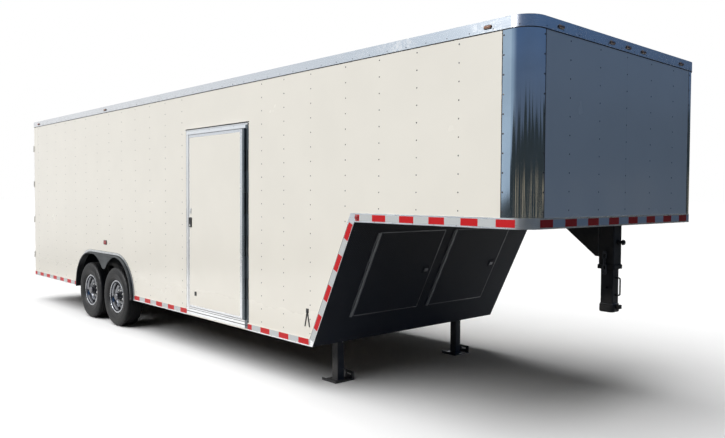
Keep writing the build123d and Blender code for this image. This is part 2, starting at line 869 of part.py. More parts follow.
def arm_profile(x, beam_x, beam_z):
    """A trailing arm seen from the side: two round ends and the straight piece between."""
    a, b = Vector(beam_x, beam_z), Vector(x, tyre_r)
    along = (b - a).normalized()
    across = Vector(-along.Y, along.X)
    corners = [a + across * arm_beam_r, a - across * arm_beam_r,
               b - across * arm_spindle_r, b + across * arm_spindle_r]
    web = polygon([(corner.X, corner.Y) for corner in corners])
    return web + Pos(a.X, a.Y) * Circle(arm_beam_r) + Pos(b.X, b.Y) * Circle(arm_spindle_r)


def make_fenders():
    """The bright wheel arch flares, each with the pointed web between its wheels."""
    lip = arch(arch_r) - arch(arch_r - flare_lip)
    flange = arch(arch_r + flare_flange) - arch(arch_r)
    above = rect(-box_length, box_length, base_z, roof_z)
    fender = side_prism(lip & above, -side_y - flare_out, -inner_y)
    fender += side_prism(flange & above, -side_y - band_t - flange_over, -side_y)
    inside = arch_r - flare_lip
    web = rect(axle_x[1], axle_x[0], arch_center_z, arch_center_z + inside)
    for x in axle_x:
        web -= Pos(x, arch_center_z) * Circle(inside)
    tip = web.vertices().sort_by(Axis.Y)[0]
    web = fillet(tip, web_tip_r)
    right = fender + side_prism(web, -side_y - web_t, -side_y)
    return Compound(children=[right, left(right)])


# Coupler

def square_tube(width, wall, z_low, z_high):
    face = RectangleRounded(width, width, wall) - Rectangle(width - 2 * wall, width - 2 * wall)
    return Pos(coupler_x, 0, z_low) * extrude(face, z_high - z_low)


def make_coupler_post():
    """The fixed outer post with its rear gussets, set bolt and chain eyes."""
    post = square_tube(post_w, post_wall, post_bottom, neck_top)
    back = coupler_x - post_w / 2
    face = polygon([(back, neck_z), (back, gusset_low_z), (back - gusset_foot, gusset_low_z),
                    (back - gusset_back, neck_z)])
    for y in (-post_w / 2, post_w / 2 - gusset_t):
        post += side_prism(face, y, y + gusset_t)
    bolt_in, bolt_out = coupler_x + stem_w / 2 + fit_gap, coupler_x + post_w / 2 + bolt_reach
    return post + rod((bolt_in, 0, bolt_z), (bolt_out, 0, bolt_z), bolt_r)


def make_coupler_stem():
    """The inner tube with the ball socket, its lock lever and the lifting handle."""
    stem = square_tube(stem_w, stem_wall, socket_top, stem_top)
    socket = extrude(RectangleRounded(socket_w, socket_w, socket_round), socket_top - socket_bottom)
    ends = socket.edges().group_by(Axis.Z)
    socket = Pos(coupler_x, 0, socket_bottom) * fillet(ends[0] + ends[-1], socket_edge)
    socket -= Pos(coupler_x, 0, socket_bottom) * Cylinder(ball_bore_r, 2 * ball_bore_depth)
    return stem + socket + coupler_handle() + lock_lever()


def coupler_handle():
    """The lifting handle on the stem's front face."""
    x = coupler_x + stem_w / 2 - leaf_gap
    out = x + handle_out
    path = Polyline((x, 0, handle_low_z), (out, 0, handle_low_z), (out, 0, handle_high_z),
                    (x, 0, handle_high_z))
    bends = fillet(path.vertices().sort_by(Axis.X)[-2:], 2 * handle_r)
    return sweep(Plane(origin=(x, 0, handle_low_z), z_dir=(1, 0, 0)) * Circle(handle_r), path=bends)


def lock_lever():
    """The lever that locks the ball in its socket."""
    x = coupler_x + socket_w / 2 - leaf_gap
    low = socket_bottom + lever_rise
    return block((x, x + lever_out), (-lever_w / 2, lever_w / 2), (low, low + lever_h))


def chain_link(x, y, z, turn):
    """One link hanging along Z, turned about it."""
    run = chain_pitch / 2
    bend = (chain_inner_w + 2 * chain_wire_r) / 2
    path = Wire([Line((-bend, -run), (-bend, run)), ThreePointArc((-bend, run), (0, run + bend), (bend, run)),
                 Line((bend, run), (bend, -run)),
                 ThreePointArc((bend, -run), (0, -run - bend), (-bend, -run))])
    section = Plane(origin=(-bend, 0, 0), x_dir=(1, 0, 0), z_dir=(0, 1, 0)) * Circle(chain_wire_r)
    return Pos(x, y, z) * Rot(0, 0, turn) * Rot(90, 0, 0) * sweep(section, path=path)


def make_safety_chains():
    """A short chain hanging from an eye on each side of the post."""
    links = []
    drop = chain_pitch + chain_inner_w - fit_gap
    for side in (-1, 1):
        y = side * (post_w / 2 + chain_out)
        eye_z = chain_top + (chain_pitch + chain_inner_w) / 2 - eye_r - fit_gap
        eye = rod((coupler_x, side * post_w / 2, eye_z), (coupler_x, y + side * eye_r, eye_z), eye_r)
        links.append(eye)
        for i in range(chain_links):
            links.append(chain_link(coupler_x, y, chain_top - i * drop, 90 * (i % 2)))
    return Compound(children=links)


# Landing legs

def leg_tube(width, z_low, z_high):
    face = RectangleRounded(width, width, leg_round) - Rectangle(width - 2 * leg_wall, width - 2 * leg_wall)
    return Pos(leg_x, 0, z_low) * extrude(face, z_high - z_low)


def leg_outer(side):
    """The fixed outer tube with its bracket on the main rail."""
    tube = Pos(0, side * leg_y, 0) * leg_tube(leg_outer_w, leg_outer_bottom, leg_outer_top)
    ys = sorted((side * (leg_y + leg_outer_w / 2), side * (rail_y - member_w / 2)))
    return tube + block((leg_x - leg_bracket_w / 2, leg_x + leg_bracket_w / 2), ys, (base_z, frame_top))


def make_leg(side):
    """A landing leg and its shoe: a plate, a low lip and a tall slotted tab."""
    tube = Pos(0, side * leg_y, 0) * leg_tube(leg_w, shoe_t, leg_inner_top)
    x_low, x_high = leg_x - shoe_x / 2, leg_x + shoe_x / 2
    y_low, y_high = side * leg_y - shoe_y / 2, side * leg_y + shoe_y / 2
    shoe = block((x_low, x_high), (y_low, y_high), (0, shoe_t))
    shoe += block((x_low, x_high), (y_low, y_low + shoe_t), (0, shoe_lip_h))
    tab = rect(leg_x - shoe_x / 4, x_high, 0, shoe_tab_h)
    slot = Pos(leg_x + shoe_x / 6, shoe_tab_h / 2 + shoe_slot_h / 2) * SlotOverall(shoe_x / 3, shoe_slot_h)
    return tube + shoe + side_prism(tab - slot, y_high - shoe_t, y_high) + leg_outer(side)


# Lamps

def lamp_pod():
    """A small oval marker lamp on its own plane."""
    return extrude(SlotOverall(lamp_l, lamp_h), lamp_out)


def make_marker_lamps():
    """The oval marker lamps on the roof trim's sides and front, and the red ones above the arches."""
    solids = []
    for setback in (lamp_setback, axle_mid - lamp_ahead_of_axles, box_length - lamp_from_rear):
        place = Plane(origin=(front_x - setback, -side_y - trim_t, lamp_z), x_dir=(1, 0, 0), z_dir=(0, -1, 0))
        solids += [place * lamp_pod(), left(place * lamp_pod())]
    corner = side_y - front_lamp_inset
    for y in (-corner, -front_lamp_pitch, 0, front_lamp_pitch, corner):
        place = Plane(origin=(front_x + trim_t, y, lamp_z), x_dir=(0, 1, 0), z_dir=(1, 0, 0))
        solids.append(place * lamp_pod())
    red = on_side(axles_x + red_lamp_ahead, arch_center_z + arch_r + red_lamp_rise) * \
        extrude(Rectangle(red_lamp_l, red_lamp_h), red_lamp_out)
    return Compound(children=solids + [red, left(red)])


def make_tail_lamps():
    """The lamps on the rear posts and the row of three on the roof trim over the doors."""
    solids = []
    for side in (-1, 1):
        ys = sorted((side * (side_y - tail_lamp_in), side * (side_y - rear_post_width + tail_lamp_in)))
        solids.append(block((rear_x - tail_lamp_out, rear_x), ys, (tail_lamp_z, tail_lamp_z + tail_lamp_h)))
    for y in (-rear_lamp_pitch, 0, rear_lamp_pitch):
        place = Plane(origin=(rear_x - trim_t, y, lamp_z), x_dir=(0, 1, 0), z_dir=(-1, 0, 0))
        solids.append(place * lamp_pod())
    return Compound(children=solids)


NODES = {
    "main_rails": make_main_rails(),
    "edge_members": make_edge_members(),
    "cross_members": make_cross_members(),
    "neck_rails": make_neck_rails(),
    "neck_cross_members": make_neck_cross_members(),
    "slope_panel": make_slope_panel(),
    "floor_main": make_floor_main(),
    "floor_locker": make_floor_locker(),
    "floor_upper": make_floor_upper(),
    "riser_wall": make_riser_wall(),
    "wall_right": make_wall_right(),
    "wall_left": make_wall_left(),
    "wall_front": make_wall_front(),
    "corner_caps": make_corner_caps(),
    "roof": make_roof(),
    "roof_trim": make_roof_trim(),
    "edge_band": make_edge_band(),
    "rear_frame": make_rear_frame(),
    "rear_door_right": make_rear_door(-1),
    "rear_door_left": make_rear_door(1),
    "lock_bar_right": make_lock_bar(-1),
    "lock_bar_left": make_lock_bar(1),
    "door_frame": make_door_frame(),
    "entry_door": make_entry_door(),
    "door_latch": make_door_latch(),
    "door_holdback": make_door_holdback(),
    "hatch_right": make_hatch(hatch_y[0]),
    "hatch_left": make_hatch(hatch_y[1]),
    "wheel_boxes": make_wheel_boxes(),
    "fenders": make_fenders(),
    "axle_front": make_axle(axle_x[0]),
    "axle_rear": make_axle(axle_x[1]),
    "coupler_post": make_coupler_post(),
    "coupler_stem": make_coupler_stem(),
    "safety_chains": make_safety_chains(),
    "leg_right": make_leg(-1),
    "leg_left": make_leg(1),
    "marker_lamps": make_marker_lamps(),
    "tail_lamps": make_tail_lamps(),
}
for place, x in zip(("front", "rear"), axle_x):
    for word, side in (("right", -1), ("left", 1)):
        NODES[f"tyre_{place}_{word}"] = make_tyre(x, side)
        NODES[f"rim_{place}_{word}"] = make_rim(x, side)
        NODES[f"hub_{place}_{word}"] = make_hub(x, side)

os.makedirs("parts", exist_ok=True)
for name, shape in NODES.items():
    export_step(shape, f"parts/{name}.step")
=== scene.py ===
"""The looks of a gooseneck cargo trailer, dressed round its fixed frame.

Metres. +X points forward, +Y to the trailer's left and +Z up, as in the frame. Each sub-assembly is a
class that holds its sizes and has methods that make its meshes and dress them.
"""
import json
import logging
from dataclasses import dataclass, field
from enum import Enum
from math import acos, asin, atan2, cos, hypot, pi, radians, sin, sqrt, tan
from typing import ClassVar, Iterable, Sequence

import bpy
from mathutils import Matrix, Quaternion, Vector

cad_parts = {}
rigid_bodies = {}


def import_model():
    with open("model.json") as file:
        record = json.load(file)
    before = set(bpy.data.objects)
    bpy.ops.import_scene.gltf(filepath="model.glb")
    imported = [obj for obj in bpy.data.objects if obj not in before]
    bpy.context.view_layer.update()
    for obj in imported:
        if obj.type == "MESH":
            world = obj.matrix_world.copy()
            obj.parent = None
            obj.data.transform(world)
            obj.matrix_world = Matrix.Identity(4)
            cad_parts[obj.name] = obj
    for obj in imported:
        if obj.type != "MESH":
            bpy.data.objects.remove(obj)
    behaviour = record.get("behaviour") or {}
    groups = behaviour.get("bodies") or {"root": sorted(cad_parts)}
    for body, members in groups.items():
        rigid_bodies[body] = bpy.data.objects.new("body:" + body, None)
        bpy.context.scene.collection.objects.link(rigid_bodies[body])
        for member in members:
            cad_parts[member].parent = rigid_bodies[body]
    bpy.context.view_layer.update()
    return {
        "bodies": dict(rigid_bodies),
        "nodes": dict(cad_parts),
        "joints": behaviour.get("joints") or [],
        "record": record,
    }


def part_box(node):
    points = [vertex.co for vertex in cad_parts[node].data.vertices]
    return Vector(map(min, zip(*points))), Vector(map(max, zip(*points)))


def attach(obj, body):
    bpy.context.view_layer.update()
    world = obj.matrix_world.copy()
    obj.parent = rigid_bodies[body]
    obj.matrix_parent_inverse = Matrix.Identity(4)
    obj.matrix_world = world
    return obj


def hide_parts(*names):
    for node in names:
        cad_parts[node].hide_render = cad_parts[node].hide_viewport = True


log = logging.getLogger("trailer")

MM = 0.001
Point = tuple[float, float, float]
Flat = tuple[float, float]


class Side(Enum):
    """The trailer's right and left sides, as the sign of Y."""

    RIGHT = -1
    LEFT = 1

    @property
    def word(self) -> str:
        """The side's name in the frame's node names."""
        return self.name.lower()


class Body(Enum):
    """The bodies that dressed pieces ride on."""

    TRAILER = "trailer"
    ENTRY_DOOR = "entry_door"
    REAR_DOOR_RIGHT = "rear_door_right"
    REAR_DOOR_LEFT = "rear_door_left"
    HATCH_RIGHT = "hatch_right"
    HATCH_LEFT = "hatch_left"


# Shader maths


class Flow:
    """A number that flows out of one socket of a material, usable in plain arithmetic."""

    def __init__(self, tree: "Tree", socket: bpy.types.NodeSocket) -> None:
        """Wraps a socket of a tree."""
        self.tree = tree
        self.socket = socket

    def _math(self, operation: str, *others: "Flow | float") -> "Flow":
        """Adds one Math node.

        Args:
            operation: The Math node's operation.
            others: The other operands after this one.

        Returns:
            The node's result.
        """
        values = dict(enumerate((self, *others)))
        return self.tree.node("ShaderNodeMath", {"operation": operation}, values)

    def __add__(self, other: "Flow | float") -> "Flow":
        """Sum."""
        return self._math("ADD", other)

    __radd__ = __add__

    def __sub__(self, other: "Flow | float") -> "Flow":
        """Difference."""
        return self._math("SUBTRACT", other)

    def __rsub__(self, other: float) -> "Flow":
        """Difference from a number."""
        return (self * -1.0) + other

    def __mul__(self, other: "Flow | float") -> "Flow":
        """Product."""
        return self._math("MULTIPLY", other)

    __rmul__ = __mul__

    def __truediv__(self, other: "Flow | float") -> "Flow":
        """Quotient."""
        return self._math("DIVIDE", other)

    def __mod__(self, other: float) -> "Flow":
        """What is left over a multiple, from 0 to other, also for negative numbers."""
        return self._math("FLOORED_MODULO", other)

    def __abs__(self) -> "Flow":
        """Size without sign."""
        return self._math("ABSOLUTE")

    def power(self, exponent: float) -> "Flow":
        """This number raised to a power."""
        return self._math("POWER", exponent)

    def both(self, other: "Flow") -> "Flow":
        """The smaller of two masks: where both hold."""
        return self._math("MINIMUM", other)

    def either(self, other: "Flow") -> "Flow":
        """The larger of two masks: where either holds."""
        return self._math("MAXIMUM", other)

    def ramp(self, low: float, high: float) -> "Flow":
        """Smooth mask that goes from 0 at low to 1 at high, where low may be the larger."""
        inputs = {"Value": self, "From Min": low, "From Max": high}
        return self.tree.node("ShaderNodeMapRange", {"interpolation_type": "SMOOTHSTEP"}, inputs)

    def near(self, middle: float, reach: float) -> "Flow":
        """Smooth mask that is 1 at middle and 0 from reach away."""
        return abs(self - middle).ramp(reach, 0.0)

    def comb(self, pitch: float) -> "Flow":
        """Distance to the nearest of many evenly spaced lines."""
        return abs((self + pitch / 2) % pitch - pitch / 2)

    def sine(self) -> "Flow":
        """Sine of this number."""
        return self._math("SINE")


class Tree:
    """The nodes of one material or of the world."""

    def __init__(self, owner: bpy.types.Material | bpy.types.World,
                 output: str = "ShaderNodeOutputMaterial") -> None:
        """Empties the owner's tree and adds its output."""
        owner.use_nodes = True
        self.nodes = owner.node_tree.nodes
        self.links = owner.node_tree.links
        self.nodes.clear()
        self.output = self.nodes.new(output)
        self._place: tuple[Flow, Flow, Flow] | None = None

    def node(self, kind: str, settings: dict, inputs: dict, output: int | str = 0) -> Flow:
        """Adds any node.

        Args:
            kind: The node's type.
            settings: What is set on the node first, such as a Math node's operation.
            inputs: Values or flows for its sockets, by name or place.
            output: The socket that the result reads.

        Returns:
            The chosen output.
        """
        made = self.nodes.new(kind)
        for name, value in settings.items():
            setattr(made, name, value)
        for name, value in inputs.items():
            if isinstance(value, Flow):
                self.links.new(value.socket, made.inputs[name])
            else:
                made.inputs[name].default_value = value
        return Flow(self, made.outputs[output])

    def point(self) -> Flow:
        """The place on the piece, in the frame's metres."""
        return self.node("ShaderNodeTexCoord", {}, {}, "Object")

    def axes(self) -> tuple[Flow, Flow, Flow]:
        """The place's X, Y and Z."""
        if self._place is None:
            point = self.point()
            split = self.node("ShaderNodeSeparateXYZ", {}, {"Vector": point})
            self._place = tuple(Flow(self, split.socket.node.outputs[k]) for k in range(3))
        return self._place

    def noise(self, scale: float, detail: float = 3.0, stretch: Point = (1.0, 1.0, 1.0),
              shift: float = 0.0) -> Flow:
        """Cloudy noise from about 0.3 to 0.7.

        Args:
            scale: Waves in a metre.
            detail: Octaves.
            stretch: How much denser the noise is along each axis.
            shift: Moves the pattern, so that like noises differ.

        Returns:
            The noise's value.
        """
        place = self.node("ShaderNodeMapping", {}, {
            "Vector": self.point(), "Location": (shift, shift, shift), "Scale": stretch})
        return self.node("ShaderNodeTexNoise", {}, {"Vector": place, "Scale": scale, "Detail": detail})

    def cells(self, scale: float) -> Flow:
        """Distance pattern of scattered cells, scale of them in a metre."""
        return self.node("ShaderNodeTexVoronoi", {}, {"Vector": self.point(), "Scale": scale})

    def mix(self, share: Flow, first: "Flow | Point", second: "Flow | Point") -> Flow:
        """Colour between first, where share is 0, and second, where it is 1."""
        made = self.nodes.new("ShaderNodeMix")
        made.data_type = "RGBA"
        self.links.new(share.socket, made.inputs["Factor"])
        for socket, colour in ((made.inputs[6], first), (made.inputs[7], second)):
            if isinstance(colour, Flow):
                self.links.new(colour.socket, socket)
            else:
                socket.default_value = (*colour, 1.0)
        return Flow(self, made.outputs[2])

    def bump(self, height: Flow, depth: float, strength: float = 1.0, under: Flow | None = None) -> Flow:
        """A normal bent by a height.

        Args:
            height: Height from 0 to 1.
            depth: What a height of 1 is, in metres.
            strength: Share of the effect.
            under: A normal that this one is laid over.

        Returns:
            The bent normal.
        """
        inputs: dict = {"Height": height, "Distance": depth, "Strength": strength}
        if under is not None:
            inputs["Normal"] = under
        return self.node("ShaderNodeBump", {}, inputs)

    def ray(self, kind: str) -> Flow:
        """Whether the ray that sees the surface is of a kind, such as Camera."""
        return self.node("ShaderNodeLightPath", {}, {}, f"Is {kind} Ray")

    def end(self, shader: Flow) -> None:
        """Ends the tree in a shader."""
        self.links.new(shader.socket, self.output.inputs["Surface"])

    def surface(self, inputs: dict) -> None:
        """Ends the tree in one surface shader with these inputs."""
        self.end(self.node("ShaderNodeBsdfPrincipled", {}, inputs))


def shade(colour: Point, factor: float) -> Point:
    """A colour made lighter or darker."""
    return tuple(min(1.0, channel * factor) for channel in colour)


# Finishes

SKIN = (0.80, 0.768, 0.685)
HINGE_STEEL = (0.125, 0.145, 0.160)


@dataclass(frozen=True)
class Finish:
    """A surface finish. Each kind writes its own nodes in dress."""

    name: str
    colour: Point
    roughness: float = 0.4

    made: ClassVar[dict[str, bpy.types.Material]] = {}

    def material(self) -> bpy.types.Material:
        """The finish's material, made once."""
        if self.name not in Finish.made:
            material = bpy.data.materials.new(self.name)
            self.dress(Tree(material))
            material.diffuse_color = (*self.colour, 1.0)
            Finish.made[self.name] = material
        return Finish.made[self.name]

    def dress(self, tree: Tree) -> None:
        """Writes the nodes of a plain satin surface with a little unevenness."""
        cloud = tree.noise(9.0)
        fine = tree.noise(220.0, 2.0, shift=3.0)
        colour = tree.mix(cloud.ramp(0.35, 0.65), shade(self.colour, 0.92), self.colour)
        rough = cloud * 0.12 + (self.roughness - 0.06)
        tree.surface({"Base Color": colour, "Roughness": rough, "Normal": tree.bump(fine, 0.00008, 0.5)})


@dataclass(frozen=True)
class PaintedSkin(Finish):
    """Gloss paint on thin aluminium sheet: seams, a slight oil-can wave and dust low down."""

    seams: tuple[float, ...] = ()
    across: bool = False
    lining_y: float = 0.0
    lining_x: float = 0.0
    metal_y: float = 0.0
    dust_top: float = 0.75
    dust: float = 0.22

    def dress(self, tree: Tree) -> None:
        """Writes the nodes of painted sheet, with bare plywood lining on its inner face."""
        x, y, z = tree.axes()
        along = y if self.across else x
        wave = tree.noise(0.9, 2.0, stretch=(1.0, 1.0, 0.55))
        peel = tree.noise(420.0, 2.0, shift=5.0)
        cloud = tree.noise(2.2, 4.0, shift=1.0)
        low = z.ramp(self.dust_top, 0.42) * cloud.ramp(0.25, 0.75)
        colour = tree.mix(cloud.ramp(0.3, 0.7), shade(self.colour, 0.975), self.colour)
        colour = tree.mix(low * self.dust, colour, (0.52, 0.47, 0.38))
        normal = tree.bump(wave, 0.004, 0.35)
        normal = tree.bump(peel, 0.00003, 0.35, normal)
        for seam in self.seams:
            line = along.near(seam, 0.0016)
            colour = tree.mix(line * 0.55, colour, shade(self.colour, 0.3))
            normal = tree.bump(along.ramp(seam - 0.0015, seam + 0.0015), 0.0009, 1.0, normal)
        rough = low * 0.25 + cloud * 0.06 + (self.roughness - 0.03)
        coat = 0.35 - low * 0.3
        if self.lining_y or self.lining_x:
            depth, face = (abs(y), self.lining_y) if self.lining_y else (x, self.lining_x)
            lining = depth.ramp(face + 0.0008, face + 0.0002)
            grain = tree.noise(5.0, 5.0, stretch=(1.0, 1.0, 14.0), shift=9.0)
            wood = tree.mix(grain.ramp(0.35, 0.65), (0.42, 0.27, 0.14), (0.60, 0.43, 0.25))
            colour = tree.mix(lining, colour, wood)
            rough = rough + lining * 0.4
            coat = coat * (1.0 - lining)
        metal: "Flow | float" = 0.0
        if self.metal_y:
            metal = y.ramp(self.metal_y - 0.0002, self.metal_y - 0.0008)
            colour = tree.mix(metal, colour, HINGE_STEEL)
            coat = coat * (1.0 - metal)
        tree.surface({"Base Color": colour, "Metallic": metal, "Roughness": rough, "Coat Weight": coat,
                      "Coat Roughness": 0.08, "Normal": normal})


@dataclass(frozen=True)
class BareMetal(Finish):
    """Bright or brushed metal with fine streaks along one axis and dulled patches."""

    streak: Point = (1.0, 1.0, 30.0)
    streak_depth: float = 0.00004
    dull: float = 0.12
    tint: Point = (0.45, 0.44, 0.42)

    def dress(self, tree: Tree) -> None:
        """Writes the nodes of worked metal."""
        lines = tree.noise(60.0, 3.0, stretch=self.streak)
        cloud = tree.noise(3.5, 5.0, shift=2.0)
        spots = tree.noise(38.0, 3.0, shift=7.0)
        worn = cloud.ramp(0.48, 0.72) * spots.ramp(0.35, 0.7)
        colour = tree.mix(worn * 0.45, self.colour, self.tint)
        rough = lines * 0.10 + worn * self.dull + (self.roughness - 0.05)
        tree.surface({"Base Color": colour, "Metallic": 1.0 - worn * 0.15, "Roughness": rough,
                      "Normal": tree.bump(lines, self.streak_depth, 0.4)})


@dataclass(frozen=True)
class BandMetal(Finish):
    """The bare band. Its sloping stretch is narrower: the rest is painted as the wall, past a dark seam."""

    foot: Flat = (0.0, 0.0)
    tilt: float = 0.0
    reach: float = 0.0
    top: float = 0.0
    skin: Point = (0.8, 0.8, 0.8)

    def dress(self, tree: Tree) -> None:
        """Writes the nodes of the band."""
        x, _, z = tree.axes()
        lines = tree.noise(60.0, 3.0, stretch=(0.1, 0.1, 6.0))
        cloud = tree.noise(3.5, 5.0, shift=2.0)
        inward = (z - self.foot[1]) * sin(self.tilt) - (x - self.foot[0]) * cos(self.tilt)
        sloping = z.ramp(self.foot[1] + self.reach, self.foot[1] + self.reach + 0.001) * \
            z.ramp(self.top, self.top - 0.001)
        painted = inward.ramp(self.reach, self.reach + 0.0006) * sloping
        seam = inward.near(self.reach, 0.005) * sloping
        colour = tree.mix(cloud.ramp(0.45, 0.75) * 0.4, self.colour, shade(self.colour, 0.6))
        colour = tree.mix(painted, colour, self.skin)
        colour = tree.mix(seam * 0.9, colour, (0.02, 0.02, 0.02))
        tree.surface({"Base Color": colour, "Metallic": 1.0 - painted.either(seam),
                      "Roughness": lines * 0.1 + cloud * 0.08 + (self.roughness - 0.09),
                      "Normal": tree.bump(lines, 0.00004, 0.4)})


@dataclass(frozen=True)
class ArchSheet(Finish):
    """Aluminium arch sheet: greyed by the road, bright along its outer flange."""

    middle: Flat = (0.0, 0.0)
    half_pitch: float = 0.0
    bright_from: float = 0.0

    def dress(self, tree: Tree) -> None:
        """Writes the nodes of the arches."""
        x, _, z = tree.axes()
        over = (abs(x - self.middle[0]) - self.half_pitch).either(0.0)
        rise = (z - self.middle[1]).either(0.0)
        reach = (over * over + rise * rise).power(0.5)
        flange = reach.ramp(self.bright_from - 0.002, self.bright_from + 0.002)
        cloud = tree.noise(6.0, 5.0, shift=2.0)
        fine = tree.noise(90.0, 3.0, shift=5.0)
        colour = tree.mix(cloud.ramp(0.35, 0.7), shade(self.colour, 0.7), self.colour)
        colour = tree.mix(flange, colour, (0.70, 0.71, 0.71))
        tree.surface({"Base Color": colour, "Metallic": 1.0, "Roughness": fine * 0.12 + cloud * 0.16 + 0.22,
                      "Normal": tree.bump(fine, 0.00006, 0.5)})


@dataclass(frozen=True)
class WheelMetal(Finish):
    """Bright wheel metal: polished lip and brushed dish, with painted shade on the parts behind its windows.
    """

    centre: Point = (0.0, 0.0, 0.0)
    lip_r: float = 0.186
    hollow: float = 0.012

    def dress(self, tree: Tree) -> None:
        """Writes the nodes of a wheel."""
        x, y, z = tree.axes()
        across, rise = x - self.centre[0], z - self.centre[2]
        reach = (across * across + rise * rise).power(0.5)
        lip = reach.ramp(self.lip_r, self.lip_r + 0.006)
        # Painted shade: parts that lie deeper than the wheel's face go near black, less metallic and rougher.
        depth = (abs(y) - abs(self.centre[1])).ramp(self.hollow, self.hollow - 0.008)
        rings = (reach * 900.0).sine().ramp(-1.0, 1.0)
        cloud = tree.noise(14.0, 4.0, shift=3.0)
        colour = tree.mix(cloud.ramp(0.35, 0.65), shade(self.colour, 0.45), self.colour)
        colour = tree.mix(lip, colour, shade(self.colour, 1.5))
        # The painted shade's near-black colour.
        colour = tree.mix(depth, colour, (0.012, 0.012, 0.013))
        tree.surface({"Base Color": colour, "Metallic": 1.0 - depth * 0.8,
                      "Roughness": rings * 0.05 + depth * 0.4 + (self.roughness - 0.02),
                      "Normal": tree.bump(rings, 0.00002, 0.4)})


@dataclass(frozen=True)
class JambMetal(Finish):
    """Bright door frame metal, dark along the jamb that carries the hinge."""

    hinge_x: float = 0.0
    hinge_top: float = 0.0

    def dress(self, tree: Tree) -> None:
        """Writes the nodes of the door frame."""
        x, _, z = tree.axes()
        lines = tree.noise(60.0, 3.0, stretch=(1.0, 1.0, 0.05))
        cloud = tree.noise(4.0, 5.0, shift=2.0)
        ahead = x.ramp(self.hinge_x, self.hinge_x + 0.0005)
        hinge = ahead * z.ramp(self.hinge_top, self.hinge_top - 0.0005)
        colour = tree.mix(cloud.ramp(0.45, 0.75) * 0.35, self.colour, shade(self.colour, 0.6))
        colour = tree.mix(hinge, colour, HINGE_STEEL)
        rough = lines * 0.1 + (self.roughness - 0.05)
        tree.surface({"Base Color": colour, "Metallic": 1.0, "Roughness": rough,
                      "Normal": tree.bump(lines, 0.00004, 0.4)})


@dataclass(frozen=True)
class MirrorCap(Finish):
    """Polished stainless corner sheet: near mirror, with faint vertical rolling marks."""

    def dress(self, tree: Tree) -> None:
        """Writes the nodes of polished sheet."""
        roll = tree.noise(14.0, 2.0, stretch=(1.0, 1.0, 0.06))
        haze = tree.noise(4.0, 4.0, shift=4.0)
        colour = tree.mix(haze.ramp(0.3, 0.7), shade(self.colour, 0.9), self.colour)
        rough = haze * 0.06 + (self.roughness - 0.03)
        tree.surface({"Base Color": colour, "Metallic": 1.0, "Roughness": rough,
                      "Normal": tree.bump(roll, 0.0012, 0.25)})


@dataclass(frozen=True)
class Treadplate(Finish):
    """Rolled tread sheet: short raised bars in two directions, staggered, and bare hinge strips."""

    origin: Flat = (0.0, 0.0)
    tilt: float = 0.0
    pitch: float = 0.030
    hinge_lines: tuple[float, ...] = ()
    hinge_ends: Flat = (0.0, 0.0)
    hinge_middle: float = 0.006
    hinge_reach: float = 0.034
    bar_turn: float = radians(20)

    def plane(self, tree: Tree) -> tuple[Flow, Flow, Flow]:
        """Places in the sheet's own plane.

        Args:
            tree: The material's tree.

        Returns:
            How far across it, up it and out of it a place lies.
        """
        x, y, z = tree.axes()
        ahead, rise = x - self.origin[0], z - self.origin[1]
        up = ahead * sin(self.tilt) + rise * cos(self.tilt)
        out = ahead * cos(self.tilt) - rise * sin(self.tilt)
        return y, up, out

    def bars(self, across: Flow, up: Flow, shift: float, turn: float) -> Flow:
        """One set of raised bars.

        Args:
            across: Distance across the sheet.
            up: Distance up the sheet.
            shift: How far this set is moved in both directions.
            turn: The bars' angle.

        Returns:
            A height from 0 to 1.
        """
        a = (across - shift) % self.pitch - self.pitch / 2
        b = (up - shift) % self.pitch - self.pitch / 2
        long = a * cos(turn) + b * sin(turn)
        wide = b * cos(turn) - a * sin(turn)
        spread = (long / (self.pitch * 0.46)).power(2.0) + (wide / (self.pitch * 0.115)).power(2.0)
        return spread.ramp(1.0, 0.35)

    def dress(self, tree: Tree) -> None:
        """Writes the nodes of tread sheet, bare along its hinges."""
        across, up, out = self.plane(tree)
        bars = self.bars(across, up, 0.0, self.bar_turn)
        bars = bars.either(self.bars(across, up, self.pitch / 2, -self.bar_turn))
        cloud = tree.noise(3.0, 4.0)
        grime = tree.noise(40.0, 3.0, shift=6.0)
        colour = tree.mix(cloud.ramp(0.35, 0.7), shade(self.colour, 0.8), self.colour)
        colour = tree.mix(bars * 0.35, colour, shade(self.colour, 1.6))
        rough = cloud * 0.12 - bars * 0.08 + grime * 0.06 + (self.roughness - 0.05)
        right, left = (across.near(line + self.hinge_middle, self.hinge_reach) for line in self.hinge_lines)
        low, high = self.hinge_ends
        lies = up.ramp(low, low + 0.002) * up.ramp(high, high - 0.002) * out.ramp(-0.003, -0.002)
        bare = right.either(left).ramp(0.05, 0.25) * lies
        colour = tree.mix(bare, colour, (0.17, 0.175, 0.18))
        tree.surface({"Base Color": colour, "Metallic": bare * 0.9, "Roughness": rough + bare * 0.02,
                      "Specular IOR Level": 0.16, "Normal": tree.bump(bars * (1.0 - bare), 0.0012, 0.8)})


@dataclass(frozen=True)
class Rubber(Finish):
    """Tyre rubber: matt, greyer on the sidewall, with fine moulding grain and road dust."""

    def dress(self, tree: Tree) -> None:
        """Writes the nodes of tyre rubber."""
        cloud = tree.noise(7.0, 5.0)
        grain = tree.noise(900.0, 2.0, shift=2.0)
        dust = cloud.ramp(0.40, 0.72)
        colour = tree.mix(dust * 0.4, self.colour, (0.030, 0.028, 0.025))
        tree.surface({"Base Color": colour, "Roughness": cloud * 0.2 + (self.roughness - 0.1),
                      "Specular IOR Level": 0.22, "Normal": tree.bump(grain, 0.0001, 0.6)})


